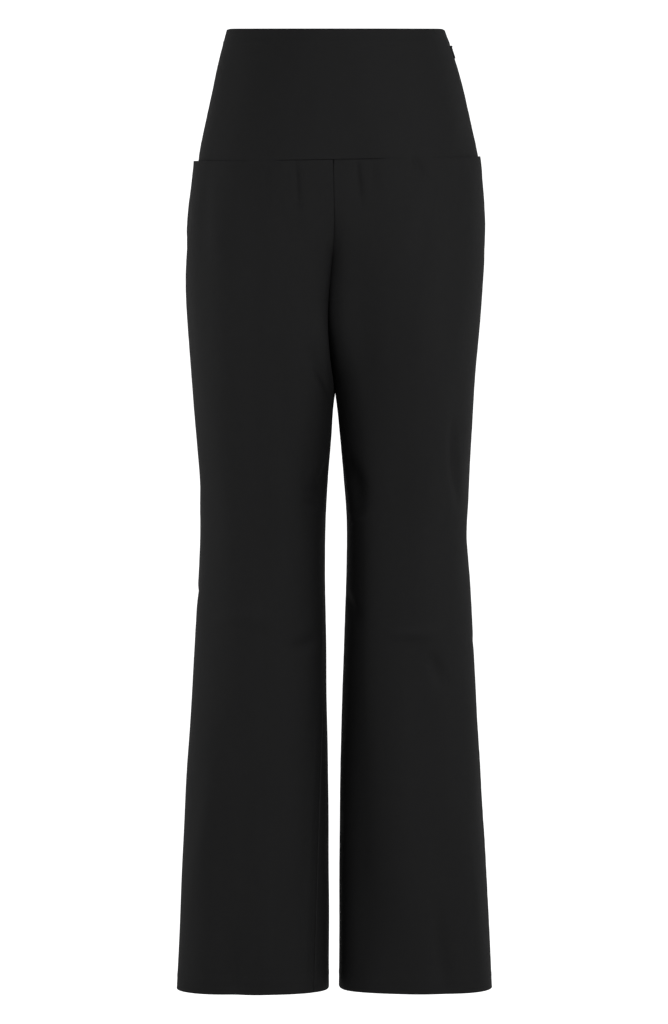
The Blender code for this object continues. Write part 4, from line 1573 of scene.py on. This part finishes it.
@dataclass
class ConcealedZip:
    """The concealed zip in the left side seam: its tape, its teeth, the slider and the pull tab."""

    form: WornForm
    cut: Cut = Cut(0.022, 0.192, 0.00422)
    tape_top: float = 0.028
    end: float = 0.220
    half_width: float = 0.011
    behind: float = 0.0022
    wall: float = 0.0010
    rib_height: float = 0.00025
    rib_place: float = 0.0045
    rib_width: float = 0.0009
    tape_spacing: float = 0.0014
    tape_columns: int = 41
    tooth_pitch: float = 0.0016
    tooth_size: tuple[float, float, float] = (0.00036, 0.0016, 0.00055)
    tooth_sides: int = 8
    tooth_rings: int = 5
    tooth_tip: float = 0.06
    tooth_power: float = 0.4
    tooth_sink: float = 0.6
    weld: float = 0.000002
    flat_degrees: float = 2.0
    sharp_degrees: float = 35.0
    edge_bevel: float = 0.00018
    bevel_segments: int = 2

    def frames(self, depths: Array) -> tuple[Array, Array, Array, Array]:
        """Points on the left side seam, with directions out of the cloth, round it and up the seam.

        Args:
            depths: one depth for each frame.

        Returns:
            Points and three unit directions, rows by 3.
        """
        seam = self.form.seams(Half.LEFT, depths)[:, 1:2]
        patch = self.form.patch(Half.LEFT, depths, seam)
        out = patch.normals[:, 0]
        up = -np.gradient(patch.points[:, 0], depths, axis=0)
        up -= out * np.sum(up * out, axis=1, keepdims=True)
        up /= np.linalg.norm(up, axis=1, keepdims=True)
        return patch.points[:, 0], out, np.cross(up, out), up

    def tape(self) -> bpy.types.Object:
        """Makes the woven tape, with a rib down each side of the teeth.

        Returns:
            The tape.
        """
        depths = np.arange(self.tape_top, self.end, self.tape_spacing)
        offsets = np.linspace(-self.half_width, self.half_width, self.tape_columns)
        seam = self.form.seams(Half.LEFT, depths)[:, 1:2]
        patch = self.form.patch(Half.LEFT, depths, seam + offsets)
        ribs = self.rib_height * np.exp(-(((np.abs(offsets) - self.rib_place) / self.rib_width) ** 2))
        outer = np.full(patch.depth.shape, -self.behind)
        inner = np.broadcast_to(-self.behind - self.wall + self.rib_height - ribs, patch.depth.shape)
        return Mesher.wall("zip_tape_woven", patch.skin(outer), patch.skin(inner), patch.flat, False)

    def teeth(self) -> bpy.types.Object:
        """Makes the two rows of nylon teeth: rounded bars across the seam, turn and turn about.

        Each bar is a squashed ball drawn out across: its rings have the radius of a half sine to a
        small power, so that its ends are round.

        Returns:
            The teeth, one joined mesh.
        """
        tall, wide, deep = self.tooth_size
        pitch = self.tooth_pitch
        depths = np.arange(self.tape_top + pitch, self.end - pitch, pitch / 2)
        points, out, across, up = self.frames(depths)
        ring = np.linspace(0.0, math.pi, self.tooth_rings)
        turn = np.linspace(0.0, 2 * math.pi, self.tooth_sides, endpoint=False)
        radius = np.maximum(np.sin(ring), self.tooth_tip) ** self.tooth_power
        local = np.stack(
            [
                radius[:, None] * np.cos(turn) * deep,
                np.broadcast_to(-np.cos(ring)[:, None] * wide, (len(ring), len(turn))),
                radius[:, None] * np.sin(turn) * tall,
            ],
            axis=-1,
        ).reshape(-1, 3)
        shift = np.where(np.arange(len(depths)) % 2 == 0, 0.5, -0.5) * wide
        at = points - out * (self.behind + self.wall + deep * self.tooth_sink) + across * shift[:, None]
        axes = np.stack([out, across, up], axis=1)
        vertices = (at[:, None] + np.einsum("kj,njc->nkc", local, axes)).reshape(-1, 3)
        last = (self.tooth_rings - 1) * self.tooth_sides
        band = np.arange(0, last, self.tooth_sides)[:, None]
        after = band + self.tooth_sides
        side = np.arange(self.tooth_sides)
        following = np.roll(side, -1)
        corners = [band + side, band + following, after + following, after + side]
        bands = np.stack(corners, axis=-1).reshape(-1, 4)
        corner = np.arange(1, self.tooth_sides - 2, 2)
        caps = np.stack([np.zeros_like(corner), corner + 2, corner + 1, corner], axis=-1)
        tooth = np.concatenate([bands, caps, (last + caps)[:, ::-1]])
        starts = np.arange(len(depths)) * len(local)
        faces = (tooth[None] + starts[:, None, None]).reshape(-1, 4)
        return Mesher.fill("zip_teeth", vertices, faces)

    def softened(self, node: bpy.types.Object, name: str) -> bpy.types.Object:
        """A copy of a small hard piece with its edges broken.

        Args:
            node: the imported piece.
            name: the copy's name.

        Returns:
            The copy.
        """
        form = bmesh.new()
        form.from_mesh(node.data)
        bmesh.ops.remove_doubles(form, verts=form.verts, dist=self.weld)
        flat = math.radians(self.flat_degrees)
        bmesh.ops.dissolve_limit(form, angle_limit=flat, verts=form.verts, edges=form.edges)
        mesh = bpy.data.meshes.new(name)
        form.to_mesh(mesh)
        form.free()
        mesh.shade_smooth()
        made = linked(name, mesh)
        broken = made.modifiers.new("broken edges", "BEVEL")
        broken.width = self.edge_bevel
        broken.segments = self.bevel_segments
        broken.limit_method = "ANGLE"
        broken.angle_limit = math.radians(self.sharp_degrees)
        return made


class Trousers:
    """The whole garment: every piece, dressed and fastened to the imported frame."""

    leg_cuts = {
        (Face.FRONT, Half.RIGHT): Cut(0.290, 0.975, 0.2302),
        (Face.FRONT, Half.LEFT): Cut(0.290, 0.975, 0.2427),
        (Face.BACK, Half.RIGHT): Cut(0.300, 0.980, 0.2482),
        (Face.BACK, Half.LEFT): Cut(0.300, 0.980, 0.2330),
    }
    yoke_cuts = {Face.FRONT: Cut(0.420, 0.165, 0.0590), Face.BACK: Cut(0.450, 0.165, 0.0635)}
    pocket_cut = Cut(0.130, 0.148, 0.0180)

    def __init__(self, frame: dict) -> None:
        """Keeps the frame and sets up the form, the relief, the sewing and the finishes.

        Args:
            frame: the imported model's bodies, nodes and joints.
        """
        self.nodes = frame["nodes"]
        self.form = WornForm()
        self.relief = Relief(self.form)
        self.sewing = Sewing()
        self.groups = Groups(Weave().build(), Mottle().build())
        finishes = (SUITING, POCKETING, TAPE, LACQUER, NYLON)
        self.materials = {finish.name: finish.build(self.groups) for finish in finishes}

    def dress(
        self,
        piece: bpy.types.Object,
        finish: ClothFinish | LacquerFinish,
        node: str | None,
        body: str = "trousers",
    ) -> None:
        """Gives a piece its finish, its body and the node that it stands for.

        Args:
            piece: the piece.
            finish: its finish.
            node: the node that it replaces, if any.
            body: the body that carries it.
        """
        piece.data.materials.clear()
        piece.data.materials.append(self.materials[finish.name])
        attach(piece, body)
        if node:
            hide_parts(node)
        LOG.info("%s: %d faces, %s", piece.name, len(piece.data.polygons), finish.name)

    def build_legs(self) -> None:
        """Builds the four leg panels."""
        for half in Half:
            for face in Face:
                cut = self.leg_cuts[face, half]
                panel = LegPanel(self.form, self.relief, self.sewing, half, face, cut)
                piece = panel.build()
                self.dress(piece, SUITING, panel.node)
                panel.cut.state(piece, [f"yoke_{face.value}_cloth"])

    def build_yokes(self) -> None:
        """Builds the two yokes."""
        for face in Face:
            yoke = Yoke(self.form, self.relief, self.sewing, face, self.yoke_cuts[face])
            piece = yoke.build()
            self.dress(piece, SUITING, yoke.node)
            yoke.cut.state(piece)

    def build_pockets(self) -> None:
        """Builds the layer behind each pocket mouth."""
        for half in Half:
            pocket = PocketBack(self.form, self.relief, self.sewing, half, self.pocket_cut)
            piece = pocket.build()
            self.dress(piece, POCKETING, pocket.node)
            pocket.cut.state(piece, ["yoke_front_cloth"])

    def build_zip(self) -> None:
        """Builds the zip's tape, teeth, slider and pull tab."""
        closing = ConcealedZip(self.form)
        tape = closing.tape()
        self.dress(tape, TAPE, "zip_tape")
        closing.cut.state(tape, ["yoke_front_cloth"])
        self.dress(closing.teeth(), NYLON, None)
        slider = closing.softened(self.nodes["zip_slider"], "zip_slider_body")
        self.dress(slider, LACQUER, "zip_slider")
        pull = closing.softened(self.nodes["zip_pull"], "zip_pull_tab")
        self.dress(pull, LACQUER, "zip_pull", "zip_pull")


@dataclass(frozen=True)
class Lamp:
    """A soft lamp: where it stands, its width and height, its power and its colour."""

    name: str
    place: tuple[float, float, float]
    size: tuple[float, float]
    power: float
    colour: tuple[float, float, float] = (1.0, 1.0, 1.0)


@dataclass(frozen=True)
class Studio:
    """A plain pale floor that sweeps up all round, soft lamps and the camera at the front."""

    floor_z: float = -1.36
    least_radius: float = 0.0001
    flat_radius: float = 9.0
    sweep_radius: float = 3.5
    wall_height: float = 9.0
    arc_steps: int = 24
    ring_steps: int = 96
    floor_colour: float = 0.86
    floor_glow: float = 0.95
    floor_roughness: float = 0.9
    floor_specular: float = 0.1
    sky: float = 0.31
    target: tuple[float, float, float] = (0.0, 0.0, -0.55)
    camera_place: tuple[float, float, float] = (-0.0006, -3.5, -0.558)
    metres_per_pixel: float = 0.001154
    image_height: int = 1024
    sensor: float = 36.0
    lamps: tuple[Lamp, ...] = (
        Lamp("left_strip", (-1.80, -0.22, -0.45), (0.30, 1.1), 7.0),
        Lamp("right_strip", (1.85, -0.06, -0.35), (0.25, 1.3), 3.0),
        Lamp("key_softbox", (1.30, -2.75, 0.35), (1.4, 2.2), 40.0),
    )

    def floor(self) -> None:
        """Makes the floor: a turned profile of a flat disc, a quarter circle and a wall."""
        angle = np.linspace(0.0, math.pi / 2, self.arc_steps)
        swept = self.flat_radius + self.sweep_radius * np.sin(angle)
        radius = np.concatenate([[self.least_radius, self.flat_radius / 2], swept, swept[-1:]])
        height = np.concatenate([[0.0, 0.0], self.sweep_radius * (1 - np.cos(angle)), [self.wall_height]])
        turn = np.linspace(0.0, 2 * math.pi, self.ring_steps, endpoint=False)
        points = np.stack(
            [
                radius[:, None] * np.cos(turn),
                radius[:, None] * np.sin(turn),
                np.broadcast_to(self.floor_z + height[:, None], (len(radius), len(turn))),
            ],
            axis=-1,
        ).reshape(-1, 3)
        ring = np.arange(self.ring_steps)
        after = np.roll(ring, -1)
        start = np.arange(len(radius) - 1)[:, None] * self.ring_steps
        further = start + self.ring_steps
        faces = np.stack([start + ring, further + ring, further + after, start + after], axis=-1)
        made = Mesher.fill("floor", points, faces.reshape(-1, 4))
        made.visible_diffuse = False
        made.visible_glossy = False
        made.visible_shadow = False
        material, wiring, shader = Wiring.material("pale floor")
        inputs = {
            "Base Color": (self.floor_colour,) * 3 + (1.0,),
            "Roughness": self.floor_roughness,
            "Specular IOR Level": self.floor_specular,
            "Emission Color": (1.0, 1.0, 1.0, 1.0),
            "Emission Strength": self.floor_glow,
        }
        wiring.fill(shader, inputs)
        made.data.materials.append(material)
        made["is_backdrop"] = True

    def light(self) -> None:
        """Sets the even sky and the soft lamps, each aimed at the middle of the garment."""
        world = bpy.data.worlds.new("even sky")
        bpy.context.scene.world = world
        world.use_nodes = True
        background = world.node_tree.nodes["Background"]
        background.inputs["Color"].default_value = (1.0, 1.0, 1.0, 1.0)
        background.inputs["Strength"].default_value = self.sky
        for lamp in self.lamps:
            data = bpy.data.lights.new(lamp.name, "AREA")
            data.shape = "RECTANGLE"
            data.size, data.size_y = lamp.size
            data.energy = lamp.power
            data.color = lamp.colour
            made = linked(lamp.name, data)
            made.location = lamp.place
            aim = Vector(self.target) - Vector(lamp.place)
            made.rotation_euler = aim.to_track_quat("-Z", "Y").to_euler()

    def camera(self) -> None:
        """Puts the camera square to the front, at the height and angle of the photograph."""
        data = bpy.data.cameras.new("camera")
        data.sensor_fit = "AUTO"
        data.sensor_width = self.sensor
        distance = -self.camera_place[1]
        data.lens = self.sensor * distance / (self.image_height * self.metres_per_pixel)
        made = linked("camera", data)
        made.location = self.camera_place
        made.rotation_euler = (math.pi / 2, 0.0, 0.0)
        bpy.context.scene.camera = made

    def build(self) -> None:
        """Builds the floor, the lamps and the camera, with plain colours in the picture."""
        self.floor()
        self.light()
        self.camera()
        bpy.context.scene.view_settings.view_transform = "Standard"
        bpy.context.scene.view_settings.look = "None"


def corners(bounds: tuple[Vector, Vector]) -> list[list[float]]:
    """A box's two corners as plain lists of numbers."""
    return [list(corner) for corner in bounds]


def main() -> None:
    """Loads the frame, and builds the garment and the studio."""
    logging.basicConfig(level=logging.INFO, format="%(message)s")
    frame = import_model()
    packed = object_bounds()
    garment = Trousers(frame)
    garment.build_yokes()
    garment.build_legs()
    garment.build_pockets()
    garment.build_zip()
    Studio().build()
    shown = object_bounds()
    {"packed": corners(packed), "shown": corners(shown)}
    LOG.info("packed %s, shown %s", corners(packed), corners(shown))


if __name__ == "__main__":
    main()
